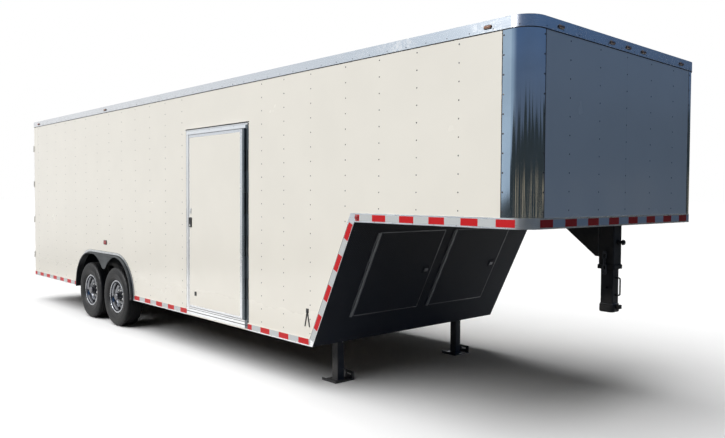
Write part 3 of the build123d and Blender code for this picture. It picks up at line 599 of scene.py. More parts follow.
@dataclass(frozen=True)
class BlackPaint(Finish):
    """Chassis paint with brush unevenness, edge dust and small chips."""

    chips: float = 0.5
    gloss: float = 0.3

    def dress(self, tree: Tree) -> None:
        """Writes the nodes of worn black paint."""
        cloud = tree.noise(5.0, 5.0)
        orange = tree.noise(260.0, 2.0, shift=3.0)
        chip = tree.noise(75.0, 4.0, shift=8.0).ramp(0.70, 0.74) * self.chips
        colour = tree.mix(cloud.ramp(0.4, 0.75) * 0.5, self.colour, (0.06, 0.057, 0.052))
        colour = tree.mix(chip, colour, (0.13, 0.085, 0.06))
        rough = cloud * 0.25 + chip * 0.3 + (self.roughness - 0.12)
        tree.surface({"Base Color": colour, "Roughness": rough, "Specular IOR Level": self.gloss,
                      "Normal": tree.bump(orange, 0.00012, 0.6)})


@dataclass(frozen=True)
class Plywood(Finish):
    """Sheathing plywood: long grain, darker knots and a worn centre."""

    grain: Point = (1.0, 12.0, 12.0)

    def dress(self, tree: Tree) -> None:
        """Writes the nodes of plywood."""
        lines = tree.noise(7.0, 6.0, stretch=self.grain)
        rings = tree.noise(1.6, 3.0, stretch=(1.0, 3.0, 3.0), shift=4.0)
        colour = tree.mix(lines.ramp(0.3, 0.7), shade(self.colour, 0.72), self.colour)
        colour = tree.mix(rings.ramp(0.55, 0.8) * 0.4, colour, (0.26, 0.15, 0.07))
        tree.surface({"Base Color": colour, "Roughness": lines * 0.1 + self.roughness,
                      "Normal": tree.bump(lines, 0.0003, 0.5)})


@dataclass(frozen=True)
class TapeFinish(Finish):
    """Reflective tape: small sealed hexagons under a clear gloss face, with painted glints in scattered
    cells.
    """

    cell: float = 0.0042

    def dress(self, tree: Tree) -> None:
        """Writes the nodes of reflective tape."""
        x, y, z = tree.axes()
        along = x + y
        rows = along.comb(self.cell * 1.732).both(z.comb(self.cell * 2.0))
        net = rows.ramp(0.0007, 0.0002)
        painted_glint_cells = tree.cells(420.0)
        colour = tree.mix(net * 0.3, self.colour, shade(self.colour, 0.6))
        # Painted glints: scattered cells are lightened in the base colour.
        colour = tree.mix(painted_glint_cells.ramp(0.2, 0.6) * 0.25, colour, shade(self.colour, 1.25))
        tree.surface({"Base Color": colour, "Roughness": painted_glint_cells * 0.1 + (self.roughness - 0.03),
                      "Specular IOR Level": 0.25, "Normal": tree.bump(net, 0.0001, 0.5)})


@dataclass(frozen=True)
class Lens(Finish):
    """Moulded lamp lens with prism ribs inside."""

    ribs: float = 0.006

    def dress(self, tree: Tree) -> None:
        """Writes the nodes of a coloured lens."""
        x, y, _ = tree.axes()
        lines = (x + y).comb(self.ribs).ramp(self.ribs * 0.35, 0.0)
        cloud = tree.noise(30.0, 2.0)
        colour = tree.mix(lines * 0.6, shade(self.colour, 0.55), self.colour)
        colour = tree.mix(cloud.ramp(0.4, 0.8) * 0.3, colour, shade(self.colour, 1.4))
        tree.surface({"Base Color": colour, "Roughness": lines * 0.08 + self.roughness, "Coat Weight": 0.5,
                      "Coat Roughness": 0.05, "Normal": tree.bump(lines, 0.0006, 0.5)})


class Paint:
    """The trailer's finishes by use."""

    chassis = BlackPaint("chassis_black", (0.014, 0.014, 0.015), 0.55)
    coupler = BlackPaint("coupler_black", (0.0035, 0.0040, 0.0055), 0.5, chips=0.15, gloss=0.12)
    well = BlackPaint("wheel_well_black", (0.010, 0.010, 0.011), 0.8, chips=0.2)
    frame = PaintedSkin("frame_white", SKIN, 0.3)
    roof = BareMetal("roof_sheet", (0.74, 0.75, 0.76), 0.42, (0.05, 1.0, 1.0), dull=0.2)
    trim = BareMetal("bright_trim", (0.72, 0.73, 0.75), 0.24, (0.08, 0.08, 8.0))
    cap = MirrorCap("polished_cap", (0.80, 0.83, 0.87), 0.07)
    arch = BareMetal("arch_aluminium", (0.62, 0.63, 0.64), 0.26, (0.3, 0.3, 0.3), dull=0.2)
    zinc = BareMetal("zinc_plate", (0.58, 0.58, 0.56), 0.38, (1.0, 1.0, 0.1), dull=0.25)
    screw = BareMetal("screw_zinc", (0.28, 0.28, 0.28), 0.42, dull=0.3)
    rim = BareMetal("wheel_silver", (0.70, 0.71, 0.73), 0.26, (0.4, 0.4, 0.4), dull=0.2)
    chain = BareMetal("chain_steel", (0.035, 0.036, 0.04), 0.45, dull=0.3, tint=(0.12, 0.08, 0.05))
    rubber = Rubber("tyre_rubber", (0.0065, 0.0065, 0.007), 0.50)
    seal = Rubber("seal_rubber", (0.012, 0.012, 0.013), 0.7)
    lock = Finish("lock_black", (0.012, 0.012, 0.013), 0.3)
    cap_dark = BareMetal("hub_cap_dark", (0.13, 0.13, 0.14), 0.30, (0.5, 0.5, 0.5))
    screw_dark = BareMetal("screw_dark", (0.055, 0.055, 0.06), 0.5)
    edging = BareMetal("hatch_edging", (0.12, 0.123, 0.13), 0.42)
    hinge = BareMetal("door_hinge_steel", HINGE_STEEL, 0.30, (1.0, 1.0, 0.05))
    amber = Lens("amber_lens", (0.40, 0.19, 0.11), 0.16)
    red = Lens("red_lens", (0.42, 0.006, 0.008), 0.16)
    tape_red = TapeFinish("tape_red", (0.50, 0.006, 0.009), 0.34)
    tape_silver = TapeFinish("tape_silver", (0.50, 0.52, 0.52), 0.24)
    plywood = Plywood("plywood", (0.50, 0.35, 0.20), 0.6)
    weld = Finish("weld_bead", (0.03, 0.03, 0.031), 0.35)


# Meshes


@dataclass
class Mesh:
    """Corners and faces of one piece while it is being made."""

    corners: list[Vector] = field(default_factory=list)
    faces: list[tuple[int, ...]] = field(default_factory=list)

    def add(self, other: "Mesh", place: Matrix | None = None) -> "Mesh":
        """Takes in another mesh.

        Args:
            other: What is added.
            place: Where it goes, or None to leave it where it is.

        Returns:
            This mesh.
        """
        start = len(self.corners)
        moved = [place @ corner for corner in other.corners] if place is not None else other.corners
        turned = place is not None and place.determinant() < 0
        self.corners += [corner.copy() for corner in moved]
        for face in other.faces:
            numbers = tuple(start + number for number in face)
            self.faces.append(numbers[::-1] if turned else numbers)
        return self

    def join(self, near: int, far: int, count: int) -> None:
        """Adds the faces between two closed rings of corners.

        Args:
            near: The number of the first ring's first corner.
            far: The number of the second ring's first corner.
            count: How many corners each ring has.
        """
        for k in range(count):
            n = (k + 1) % count
            self.faces.append((near + k, near + n, far + n, far + k))

    def piece(self, name: str, finish: Finish, body: Body | str = Body.TRAILER, slot: str | None = None,
              sharp: float = 38.0) -> bpy.types.Object:
        """Makes the Blender object and rides it on its body.

        Args:
            name: The piece's name.
            finish: Its finish.
            body: The body that carries it.
            slot: Not used.
            sharp: Edges that turn by more than this many degrees stay sharp.

        Returns:
            The object.
        """
        data = bpy.data.meshes.new(name)
        data.from_pydata([tuple(corner) for corner in self.corners], [], self.faces)
        data.validate()
        data.shade_smooth()
        data.set_sharp_from_angle(angle=radians(sharp))
        data.materials.append(finish.material())
        made = bpy.data.objects.new(name, data)
        bpy.context.scene.collection.objects.link(made)
        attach(made, body.value if isinstance(body, Body) else body)
        log.info("%s: %d faces", name, len(self.faces))
        return made


def frame_at(origin: Sequence[float], out: Sequence[float], up: Sequence[float] = (0.0, 0.0, 1.0)) -> Matrix:
    """A place whose local Z points out of a surface and local Y up it.

    Args:
        origin: Where the place is.
        out: The direction out of the surface.
        up: The direction that local Y follows.

    Returns:
        The matrix from the place to the frame.
    """
    z = Vector(out).normalized()
    x = Vector(up).cross(z).normalized()
    y = z.cross(x)
    return Matrix.Translation(Vector(origin)) @ Matrix((x, y, z)).transposed().to_4x4()


def circle(radius: float, count: int, start: float = 0.0) -> list[Flat]:
    """Even places round a circle about the local origin, from a start angle."""
    turns = [start + 2 * pi * k / count for k in range(count)]
    return [(radius * cos(turn), radius * sin(turn)) for turn in turns]


def skin(rings: Sequence[Sequence[Vector]], closed: bool = False) -> Mesh:
    """Rings of corners joined into one closed skin.

    Args:
        rings: The rings, each with as many corners.
        closed: Whether the last ring joins the first. The two are covered if not.

    Returns:
        The skin.
    """
    count, levels = len(rings[0]), len(rings)
    made = Mesh([corner for ring in rings for corner in ring])
    for level in range(levels if closed else levels - 1):
        made.join(level * count, (level + 1) % levels * count, count)
    if not closed:
        made.faces += [tuple(range(count))[::-1], tuple(range((levels - 1) * count, levels * count))]
    return made


def lathe(profile: Sequence[Flat], steps: int = 24) -> Mesh:
    """Turns a profile about local Z.

    Args:
        profile: Points as radius and height.
        steps: Facets round it.

    Returns:
        The turned mesh, open where the profile is open.
    """
    made = Mesh()
    rings: list[list[int]] = []
    for radius, height in profile:
        start = len(made.corners)
        if radius == 0:
            made.corners.append(Vector((0, 0, height)))
            rings.append([start] * steps)
            continue
        made.corners += [Vector((x, y, height)) for x, y in circle(radius, steps)]
        rings.append(list(range(start, start + steps)))
    for low, high in zip(rings, rings[1:]):
        for step in range(steps):
            after = (step + 1) % steps
            face = tuple(dict.fromkeys((low[step], low[after], high[after], high[step])))
            if len(face) > 2:
                made.faces.append(face)
    return made


def tube(path: Sequence[Sequence[float]], radius: float, sides: int = 10, closed: bool = False) -> Mesh:
    """A round bar along a path.

    Args:
        path: Points along its middle.
        radius: Its radius.
        sides: Facets round it.
        closed: Whether the last point joins the first.

    Returns:
        The bar, with flat ends where it is open.
    """
    points = [Vector(point) for point in path]
    count = len(points)
    rings: list[list[Vector]] = []
    normal: Vector | None = None
    for number, point in enumerate(points):
        before = points[number - 1] if number or closed else point
        after = points[(number + 1) % count] if number < count - 1 or closed else point
        along = (after - before).normalized()
        if normal is None:
            normal = along.orthogonal().normalized()
        normal = (normal - along * normal.dot(along)).normalized()
        other = along.cross(normal)
        rings.append([point + normal * a + other * b for a, b in circle(radius, sides)])
    return skin(rings, closed)


def prism(outline: Sequence[Flat], low: float, high: float) -> Mesh:
    """A plate of any outline, drawn anticlockwise in local X and Y, between two heights."""
    return skin([[Vector((*point, z)) for point in outline] for z in (low, high)])


def plate(corners: Sequence[Flat], y: float, thick: float) -> Mesh:
    """A thin plate on a side wall.

    Args:
        corners: Its outline in X and Z.
        y: The plane that it lies on.
        thick: How far it stands out, negative towards the right.

    Returns:
        The plate.
    """
    made = skin([[Vector((x, level, z)) for x, z in corners] for level in (y + thick, y)])
    turned = zip(corners, list(corners[1:]) + [corners[0]])
    area = sum(a[0] * b[1] - b[0] * a[1] for a, b in turned)
    if (area > 0) != (thick > 0):
        made.faces = [face[::-1] for face in made.faces]
    return made


def ribbon(places: Sequence[tuple[Flat, Flat]], low: float, high: float, thick: float) -> Mesh:
    """An upright strip that follows a plan outline.

    Args:
        places: Points and outward directions in X and Y.
        low: Its lower edge.
        high: Its upper edge.
        thick: How far it stands out.

    Returns:
        The strip, closed all round.
    """
    section = ((0.0, low), (thick, low), (thick, high), (0.0, high))
    return skin([[Vector((x + nx * out, y + ny * out, z)) for out, z in section]
                 for (x, y), (nx, ny) in places])


def bar(low: Sequence[float], high: Sequence[float], edge: float = 0.0006) -> Mesh:
    """A small rectangular bar with its edges taken off.

    Args:
        low: Its lowest corner.
        high: Its highest corner.
        edge: The size of the edges.

    Returns:
        The bar.
    """
    edge = min(edge, min(b - a for a, b in zip(low, high)) * 0.3)
    rings: list[list[Vector]] = []
    for inset, z in ((edge, low[2]), (0.0, low[2] + edge), (0.0, high[2] - edge), (edge, high[2])):
        a, b, c, d = low[0] + inset, high[0] - inset, low[1] + inset, high[1] - inset
        outline = ((a + edge, c), (b - edge, c), (b, c + edge), (b, d - edge),
                   (b - edge, d), (a + edge, d), (a, d - edge), (a, c + edge))
        rings.append([Vector((x, y, z)) for x, y in outline])
    return skin(rings)


def rounded(width: float, height: float, radius: float, steps: int = 5) -> list[Flat]:
    """A rectangle's outline with round corners, about the local origin."""
    outline: list[Flat] = []
    for corner, (sx, sy) in enumerate(((1, 1), (-1, 1), (-1, -1), (1, -1))):
        for step in range(steps + 1):
            turn = (corner + step / steps) * pi / 2
            outline.append((sx * (width / 2 - radius) + radius * cos(turn),
                            sy * (height / 2 - radius) + radius * sin(turn)))
    return outline


def cushion(outline: Sequence[Flat], height: float, edge: float, low: float = 0.0) -> Mesh:
    """A plate whose upper edge is rounded over.

    Args:
        outline: Its outline, anticlockwise and convex, about the local origin.
        height: Its height.
        edge: The rounding's radius.
        low: Where it starts.

    Returns:
        The plate.
    """
    steps = 3
    turns = [k / steps * pi / 2 for k in range(steps + 1)]
    levels = [(edge * (1 - cos(turn)), low + height - edge + edge * sin(turn)) for turn in turns]
    wide = max(abs(x) for x, _ in outline)
    tall = max(abs(y) for _, y in outline)
    rings: list[list[Vector]] = []
    for inset, z in [(0.0, low)] + levels:
        sx, sy = (wide - inset) / wide, (tall - inset) / tall
        rings.append([Vector((x * sx, y * sy, z)) for x, y in outline])
    return skin(rings)


def screw_head(radius: float = 4.6 * MM, height: float = 2.2 * MM) -> Mesh:
    """A low domed screw head on a thin washer."""
    return lathe([(radius * 1.25, 0.0), (radius * 1.25, height * 0.25), (radius, height * 0.3),
                  (radius * 0.82, height * 0.75), (radius * 0.4, height), (0.0, height)], 10)


def hex_bolt(across: float, height: float) -> Mesh:
    """A hexagon nut or bolt head with a washer face."""
    made = lathe([(across * 0.62, 0.0), (across * 0.62, height * 0.15), (0.0, height * 0.15)], 16)
    made.add(prism(circle(across / sqrt(3), 6), height * 0.15, height * 0.9))
    return made.add(lathe([(across * 0.48, height * 0.9), (across * 0.38, height), (0.0, height)], 12))


def scatter(item: Mesh, places: Iterable[Matrix]) -> Mesh:
    """Copies of one item joined into one mesh."""
    made = Mesh()
    for place in places:
        made.add(item, place)
    return made


def spread(start: float, end: float, pitch: float) -> list[float]:
    """Even places from start to end, about a pitch apart."""
    count = max(1, round(abs(end - start) / pitch))
    return [start + (end - start) * k / count for k in range(count + 1)]


def dress_node(frame: dict, finish: Finish, *names: str) -> None:
    """Gives nodes of the frame a finish."""
    for name in names:
        data = frame["nodes"][name].data
        data.materials.clear()
        data.materials.append(finish.material())
        for face in data.polygons:
            face.material_index = 0
        log.info("%s: %s", name, finish.name)


# Studio


@dataclass
class Studio:
    """Floor, lamps and camera."""

    eye: Point = (7.4586, -5.1468, 1.7523)
    heading: float = 47.441
    dip: float = 1.908
    roll: float = -0.2965
    focal_pixels: float = 696.19
    picture_width: float = 725.0
    sensor: float = 36.0
    floor_size: float = 400.0
    card_steps: int = 96

    def camera(self) -> None:
        """Makes the camera at the photograph's place and angle."""
        data = bpy.data.cameras.new("camera")
        data.sensor_width = self.sensor
        data.lens = self.focal_pixels / self.picture_width * self.sensor
        data.clip_end = 1000.0
        made = bpy.data.objects.new("camera", data)
        heading, dip = radians(self.heading), radians(self.dip)
        ahead = Vector((-sin(heading) * cos(dip), cos(heading) * cos(dip), -sin(dip)))
        made.location = self.eye
        made.rotation_mode = "QUATERNION"
        made.rotation_quaternion = Quaternion(ahead, radians(self.roll)) @ ahead.to_track_quat("-Z", "Y")
        bpy.context.scene.collection.objects.link(made)
        bpy.context.scene.camera = made

    def sun(self, name: str, toward: Point, strength: float, angle: float, colour: Point) -> bpy.types.Object:
        """Adds one broad lamp.

        Args:
            name: Its name.
            toward: The direction from the trailer to the lamp.
            strength: Its strength.
            angle: How many degrees wide it is, which softens its shadow.
            colour: Its colour.

        Returns:
            The lamp.
        """
        data = bpy.data.lights.new(name, "SUN")
        data.energy = strength
        data.angle = radians(angle)
        data.color = colour
        made = bpy.data.objects.new(name, data)
        made.rotation_mode = "QUATERNION"
        made.rotation_quaternion = Vector(toward).to_track_quat("Z", "Y")
        bpy.context.scene.collection.objects.link(made)
        return made

    def lamps(self, floor: bpy.types.Object) -> None:
        """Adds the key on the right side, a weaker one behind, the front's cool fill and the floor's own."""
        key = self.sun("key", (-0.30, -0.84, 0.46), 3.50, 14.0, (1.0, 0.99, 0.985))
        back = self.sun("back", (-0.50, 0.72, 0.46), 2.5, 30.0, (0.98, 0.99, 1.0))
        cool = self.sun("shade", (0.95, -0.10, 0.30), 0.48, 60.0, (0.20, 0.49, 1.1))
        top = self.sun("top", (-0.24, -0.42, 1.0), 3.75, 80.0, (1.0, 1.0, 1.0))
        floor_only = bpy.data.collections.new("floor_only")
        floor_only.objects.link(floor)
        top.light_linking.receiver_collection = floor_only
        rest = bpy.data.collections.new("all_but_floor")
        rest.objects.link(floor)
        rest.collection_objects[0].light_linking.link_state = "EXCLUDE"
        for lamp in (key, back, cool):
            lamp.light_linking.receiver_collection = rest

    def world(self) -> None:
        """A dim surround that shows as white behind the trailer."""
        world = bpy.data.worlds.new("surround")
        bpy.context.scene.world = world
        tree = Tree(world, "ShaderNodeOutputWorld")
        seen = tree.ray("Camera").either(tree.ray("Glossy").either(tree.ray("Transmission")))
        dim = tree.node("ShaderNodeBackground", {}, {"Color": (0.95, 0.98, 1.0, 1.0), "Strength": 0.075})
        pale = tree.node("ShaderNodeBackground", {}, {"Color": (1.0, 1.0, 1.0, 1.0)})
        tree.end(tree.node("ShaderNodeMixShader", {}, {0: seen, 1: dim, 2: pale}))

    def floor(self) -> bpy.types.Object:
        """A pale floor that keeps the trailer's shadow and throws little light back up."""
        half = self.floor_size / 2
        data = bpy.data.meshes.new("floor")
        corners = [(-half, -half, 0.0), (half, -half, 0.0), (half, half, 0.0), (-half, half, 0.0)]
        data.from_pydata(corners, [], [(0, 1, 2, 3)])
        made = bpy.data.objects.new("floor", data)
        bpy.context.scene.collection.objects.link(made)
        material = bpy.data.materials.new("floor_white")
        tree = Tree(material)
        seen = tree.ray("Camera").either(tree.ray("Glossy"))
        paper = tree.noise(1.5, 2.0)
        pale = tree.mix(paper, (0.93, 0.93, 0.93), (0.95, 0.95, 0.95))
        tree.surface({"Base Color": tree.mix(seen, (0.05, 0.05, 0.05), pale), "Roughness": 0.9,
                      "Specular IOR Level": 0.0})
        data.materials.append(material)
        return made

    def card(self, name: str, rings: tuple[Flat, Flat]) -> Tree:
        """A round card about the trailer that only reflections see.

        Args:
            name: Its name.
            rings: Radius and height of its two edges.

        Returns:
            The tree of its material.
        """
        steps = self.card_steps
        made = Mesh([Vector((x, y, z)) for radius, z in rings for x, y in circle(radius, steps)])
        made.join(0, steps, steps)
        data = bpy.data.meshes.new(name)
        data.from_pydata([tuple(corner) for corner in made.corners], [], made.faces)
        card = bpy.data.objects.new(name, data)
        bpy.context.scene.collection.objects.link(card)
        for ray in ("camera", "diffuse", "transmission", "shadow", "volume_scatter"):
            setattr(card, f"visible_{ray}", False)
        material = bpy.data.materials.new(name)
        data.materials.append(material)
        return Tree(material)

    def cards(self) -> None:
        """The open sky with a tree line that polished metal shows, and the dark ground far out."""
        tree = self.card("card_sky", ((34.0, 0.05), (34.0, 30.0)))
        x, _, z = tree.axes()
        trees = tree.noise(0.16, 4.0, stretch=(1.0, 1.0, 0.25)) * 9.0
        trees = trees + tree.noise(0.9, 3.0, shift=5.0) * 2.4
        sky = tree.mix(x.ramp(-36.0, -12.0), (1.0, 1.0, 1.0), (0.36, 0.49, 0.62))
        front = tree.mix(z.ramp(5.0, 15.0), (0.095, 0.130, 0.190), (0.060, 0.140, 0.310))
        sky = tree.mix(x.ramp(-19.0, 5.0), sky, front)
        line = (trees * x.ramp(-22.0, -6.0) - z).ramp(-0.4, 0.6)
        trunks = tree.noise(0.8, 3.0, stretch=(1.0, 1.0, 0.2), shift=11.0)
        lit = trunks.ramp(0.52, 0.62) * z.ramp(3.4, 2.2)
        dark = tree.mix(lit * x.ramp(-8.0, 4.0), (0.030, 0.040, 0.045), (0.34, 0.30, 0.22))
        self.glow(tree, tree.mix(line, sky, dark))
        tree = self.card("card_ground", ((8.5, 0.02), (34.0, 0.02)))
        x, _, _ = tree.axes()
        self.glow(tree, tree.mix(x.ramp(-22.0, -2.0), (0.85, 0.86, 0.86), (0.075, 0.085, 0.095)))

    @staticmethod
    def glow(tree: Tree, colour: Flow) -> None:
        """Ends a card's tree in a plain glow."""
        tree.surface({"Base Color": (0.0, 0.0, 0.0, 1.0), "Specular IOR Level": 0.0, "Emission Color": colour,
                      "Emission Strength": 1.0})

    def build(self) -> None:
        """Makes the whole studio."""
        self.camera()
        self.cards()
        self.world()
        self.lamps(self.floor())
        bpy.context.scene.view_settings.view_transform = "Standard"


# The frame's places


@dataclass(frozen=True)
class Layout:
    """Main places of the trailer, read from the frame."""

    front_x: float
    rear_x: float
    side_y: float
    base_z: float
    neck_z: float
    roof_z: float
    roof_under: float
    foot_x: float
    head_x: float
    arch_x: float
    corner_r: float = 0.150
    corner_side: float = 0.223
    corner_front: float = 0.175
    trim_t: float = 0.005
    trim_h: float = 0.080
    band_t: float = 0.003
    band_h: float = 0.075
    wheel_pitch: float = 0.866
    arch_r: float = 0.505
    arch_center_z: float = 0.425
    flare_flange: float = 0.040
    wall_t: float = 0.048
    door_front: float = 3.285
    door_w: float = 1.241
    jamb_w: float = 0.040
    hinge_gap: float = 0.008

    @classmethod
    def read(cls) -> "Layout":
        """Reads the places from the boxes of the frame's nodes."""
        names = ("wall_front", "roof", "wall_right", "roof_trim", "slope_panel", "fenders")
        front, (low, high), wall, trim, slope, arch = (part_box(name) for name in names)
        rise, run = slope[1].z - slope[0].z, slope[1].x - slope[0].x
        wall_t = wall[1].y - wall[0].y
        turns = (radians(k * 0.05) for k in range(900))
        angle = next(turn for turn in turns if run <= rise * tan(turn) + wall_t / cos(turn))
        return cls(high.x, low.x, -wall[0].y, wall[0].z, front[0].z, trim[1].z, wall[1].z,
                   slope[0].x + wall_t / cos(angle), slope[1].x, (arch[0].x + arch[1].x) / 2)

    @property
    def slope(self) -> float:
        """The slope's angle from upright."""
        return atan2(self.head_x - self.foot_x, self.neck_z - self.base_z)

    @property
    def trim_low(self) -> float:
        """The lower edge of the roof's trim."""
        return self.roof_z - self.trim_h

    @property
    def door_ends(self) -> Flat:
        """The rear and front ends of the side door's frame along X."""
        return self.setback(self.door_front + self.door_w), self.setback(self.door_front)

    @property
    def leaf_front(self) -> float:
        """The front edge of the side door's leaf along X."""
        return self.setback(self.door_front + self.jamb_w + self.hinge_gap)

    def setback(self, distance: float) -> float:
        """The place along X that lies a distance behind the front wall."""
        return self.front_x - distance

    def on_side(self, side: Side, x: float, z: float, out: float = 0.0) -> Matrix:
        """A place on a side wall, or a little out of it, that faces outward."""
        return frame_at((x, side.value * (self.side_y + out), z), (0, side.value, 0))

    def round_front(self, s: float, out: float = 0.0) -> tuple[Flat, Flat]:
        """A place on the box's plan, from the right side round its front corner.

        Args:
            s: Distance along the outline from the end of the right side's straight stretch.
            out: How far outside the outline it lies.

        Returns:
            The place and the direction out of the box.
        """
        x0, y0 = self.front_x - self.corner_r, -self.side_y + self.corner_r
        quarter, front = self.corner_r * pi / 2, 2 * (self.side_y - self.corner_r)
        if s <= 0:
            return (x0 + s, -self.side_y - out), (0.0, -1.0)
        if s < quarter:
            turn = s / self.corner_r
            way = (sin(turn), -cos(turn))
            return (x0 + way[0] * (self.corner_r + out), y0 + way[1] * (self.corner_r + out)), way
        if s <= quarter + front:
            return (self.front_x + out, y0 + s - quarter), (1.0, 0.0)
        (x, y), way = self.round_front(2 * quarter + front - s, out)
        return (x, -y), (way[0], -way[1])

    @property
    def round_length(self) -> float:
        """Length of the outline from one side's straight stretch to the other's."""
        return self.corner_r * pi + 2 * (self.side_y - self.corner_r)


# Box


@dataclass
class Walls:
    """Screws and seams of the painted walls."""

    at: Layout
    stud_pitch: float = 16 * 25.4 * MM
    first_front_stud: float = 0.594
    neck_studs: int = 4
    foot_studs: tuple[float, ...] = (2.282, 2.683, 3.046)
    first_rear_stud: float = 4.634
    rear_margin: float = 0.15
    row_pitch: float = 5 * 25.4 * MM
    row_from_edge: float = 0.115
    row_from_trim: float = 0.04
    row_from_band: float = 0.05
    screw: Flat = (4.6 * MM, 1.8 * MM)

    def columns(self) -> list[float]:
        """Setbacks of the screw columns along a side."""
        length = self.at.front_x - self.at.rear_x
        rear_count = int((length - self.first_rear_stud - self.rear_margin) / self.stud_pitch) + 1
        neck = [self.first_front_stud + k * self.stud_pitch for k in range(self.neck_studs)]
        rear = [self.first_rear_stud + k * self.stud_pitch for k in range(rear_count)]
        return neck + list(self.foot_studs) + rear

    def low_edge(self, x: float) -> float:
        """The height of the box's lower edge, or of the wheel arch over it, at a place along X."""
        at = self.at
        over = abs(x - at.arch_x) - at.wheel_pitch / 2
        reach = at.arch_r + at.flare_flange
        if over < reach:
            return at.arch_center_z + (reach if over <= 0 else sqrt(reach ** 2 - over ** 2))
        if x > at.foot_x:
            return min(at.neck_z, at.base_z + (x - at.foot_x) / tan(at.slope))
        return at.base_z

    def screws(self, side: Side) -> Mesh:
        """Screw heads of one side wall."""
        at = self.at
        places = []
        for setback in self.columns():
            x = at.setback(setback)
            low, high = self.low_edge(x) + self.row_from_edge, at.trim_low - self.row_from_trim
            places += [at.on_side(side, x, z) for z in spread(low, high, self.row_pitch)]
        return scatter(screw_head(*self.screw), places)

    def front_screws(self) -> Mesh:
        """Screw heads of the front wall, in its middle seam and the studs beside it."""
        at = self.at
        places = []
        low, high = at.neck_z + at.band_h + self.row_from_band, at.trim_low - self.row_from_trim
        for stud in range(-2, 3):
            places += [frame_at((at.front_x, stud * self.stud_pitch, z), (1, 0, 0))
                       for z in spread(low, high, self.row_pitch)]
        return scatter(screw_head(*self.screw), places)

    def build(self, frame: dict) -> None:
        """Dresses the walls."""
        at = self.at
        side_skin = PaintedSkin("side_skin", SKIN, 0.26, lining_y=at.side_y - at.wall_t)
        front_skin = PaintedSkin("front_skin", SKIN, 0.26, seams=(0.0,), across=True,
                                 lining_x=at.front_x - at.wall_t, dust_top=1.8, dust=0.1)
        dress_node(frame, side_skin, "wall_right", "wall_left")
        dress_node(frame, front_skin, "wall_front")
        for side in Side:
            self.screws(side).piece(f"wall_screws_{side.word}", Paint.screw_dark)
        self.front_screws().piece("wall_screws_front", Paint.screw_dark)


@dataclass
class CornerCaps:
    """The polished corner sheets with their seams and screws."""

    at: Layout
    seam_w: float = 0.0060
    seam_t: float = 0.0008
    seam_edge: float = 0.0002
    screw_inset: float = 0.012
    screw_pitch: float = 5 * 25.4 * MM
    screw_margin: float = 0.04
    screw: Flat = (5.4 * MM, 2.0 * MM)

    def screws(self, side: Side) -> Mesh:
        """The screws just inside a cap's two edges."""
        at = self.at
        x = at.front_x - at.corner_side + self.screw_inset
        y = side.value * (at.side_y - at.corner_front + self.screw_inset)
        low, high = at.neck_z + at.band_h + self.screw_margin, at.trim_low - self.screw_margin
        places = []
        for z in spread(low, high, self.screw_pitch):
            places += [at.on_side(side, x, z), frame_at((at.front_x, y, z), (1, 0, 0))]
        return scatter(screw_head(*self.screw), places)

    def seams(self, side: Side) -> Mesh:
        """The dark sealant along a cap's two edges."""
        at, y = self.at, side.value
        low, high, half = at.neck_z + at.band_h, at.trim_low, self.seam_w / 2
        x, yf = at.front_x - at.corner_side, y * (at.side_y - at.corner_front)
        near, far = sorted((y * at.side_y, y * (at.side_y + self.seam_t)))
        made = bar((x - half, near, low), (x + half, far, high), self.seam_edge)
        return made.add(bar((at.front_x, yf - half, low), (at.front_x + self.seam_t, yf + half, high),
                            self.seam_edge))

    def build(self, frame: dict) -> None:
        """Dresses both caps."""
        dress_node(frame, Paint.cap, "corner_caps")
        for side in Side:
            self.screws(side).piece(f"corner_screws_{side.word}", Paint.screw_dark)
            self.seams(side).piece(f"corner_seams_{side.word}", Paint.seal)


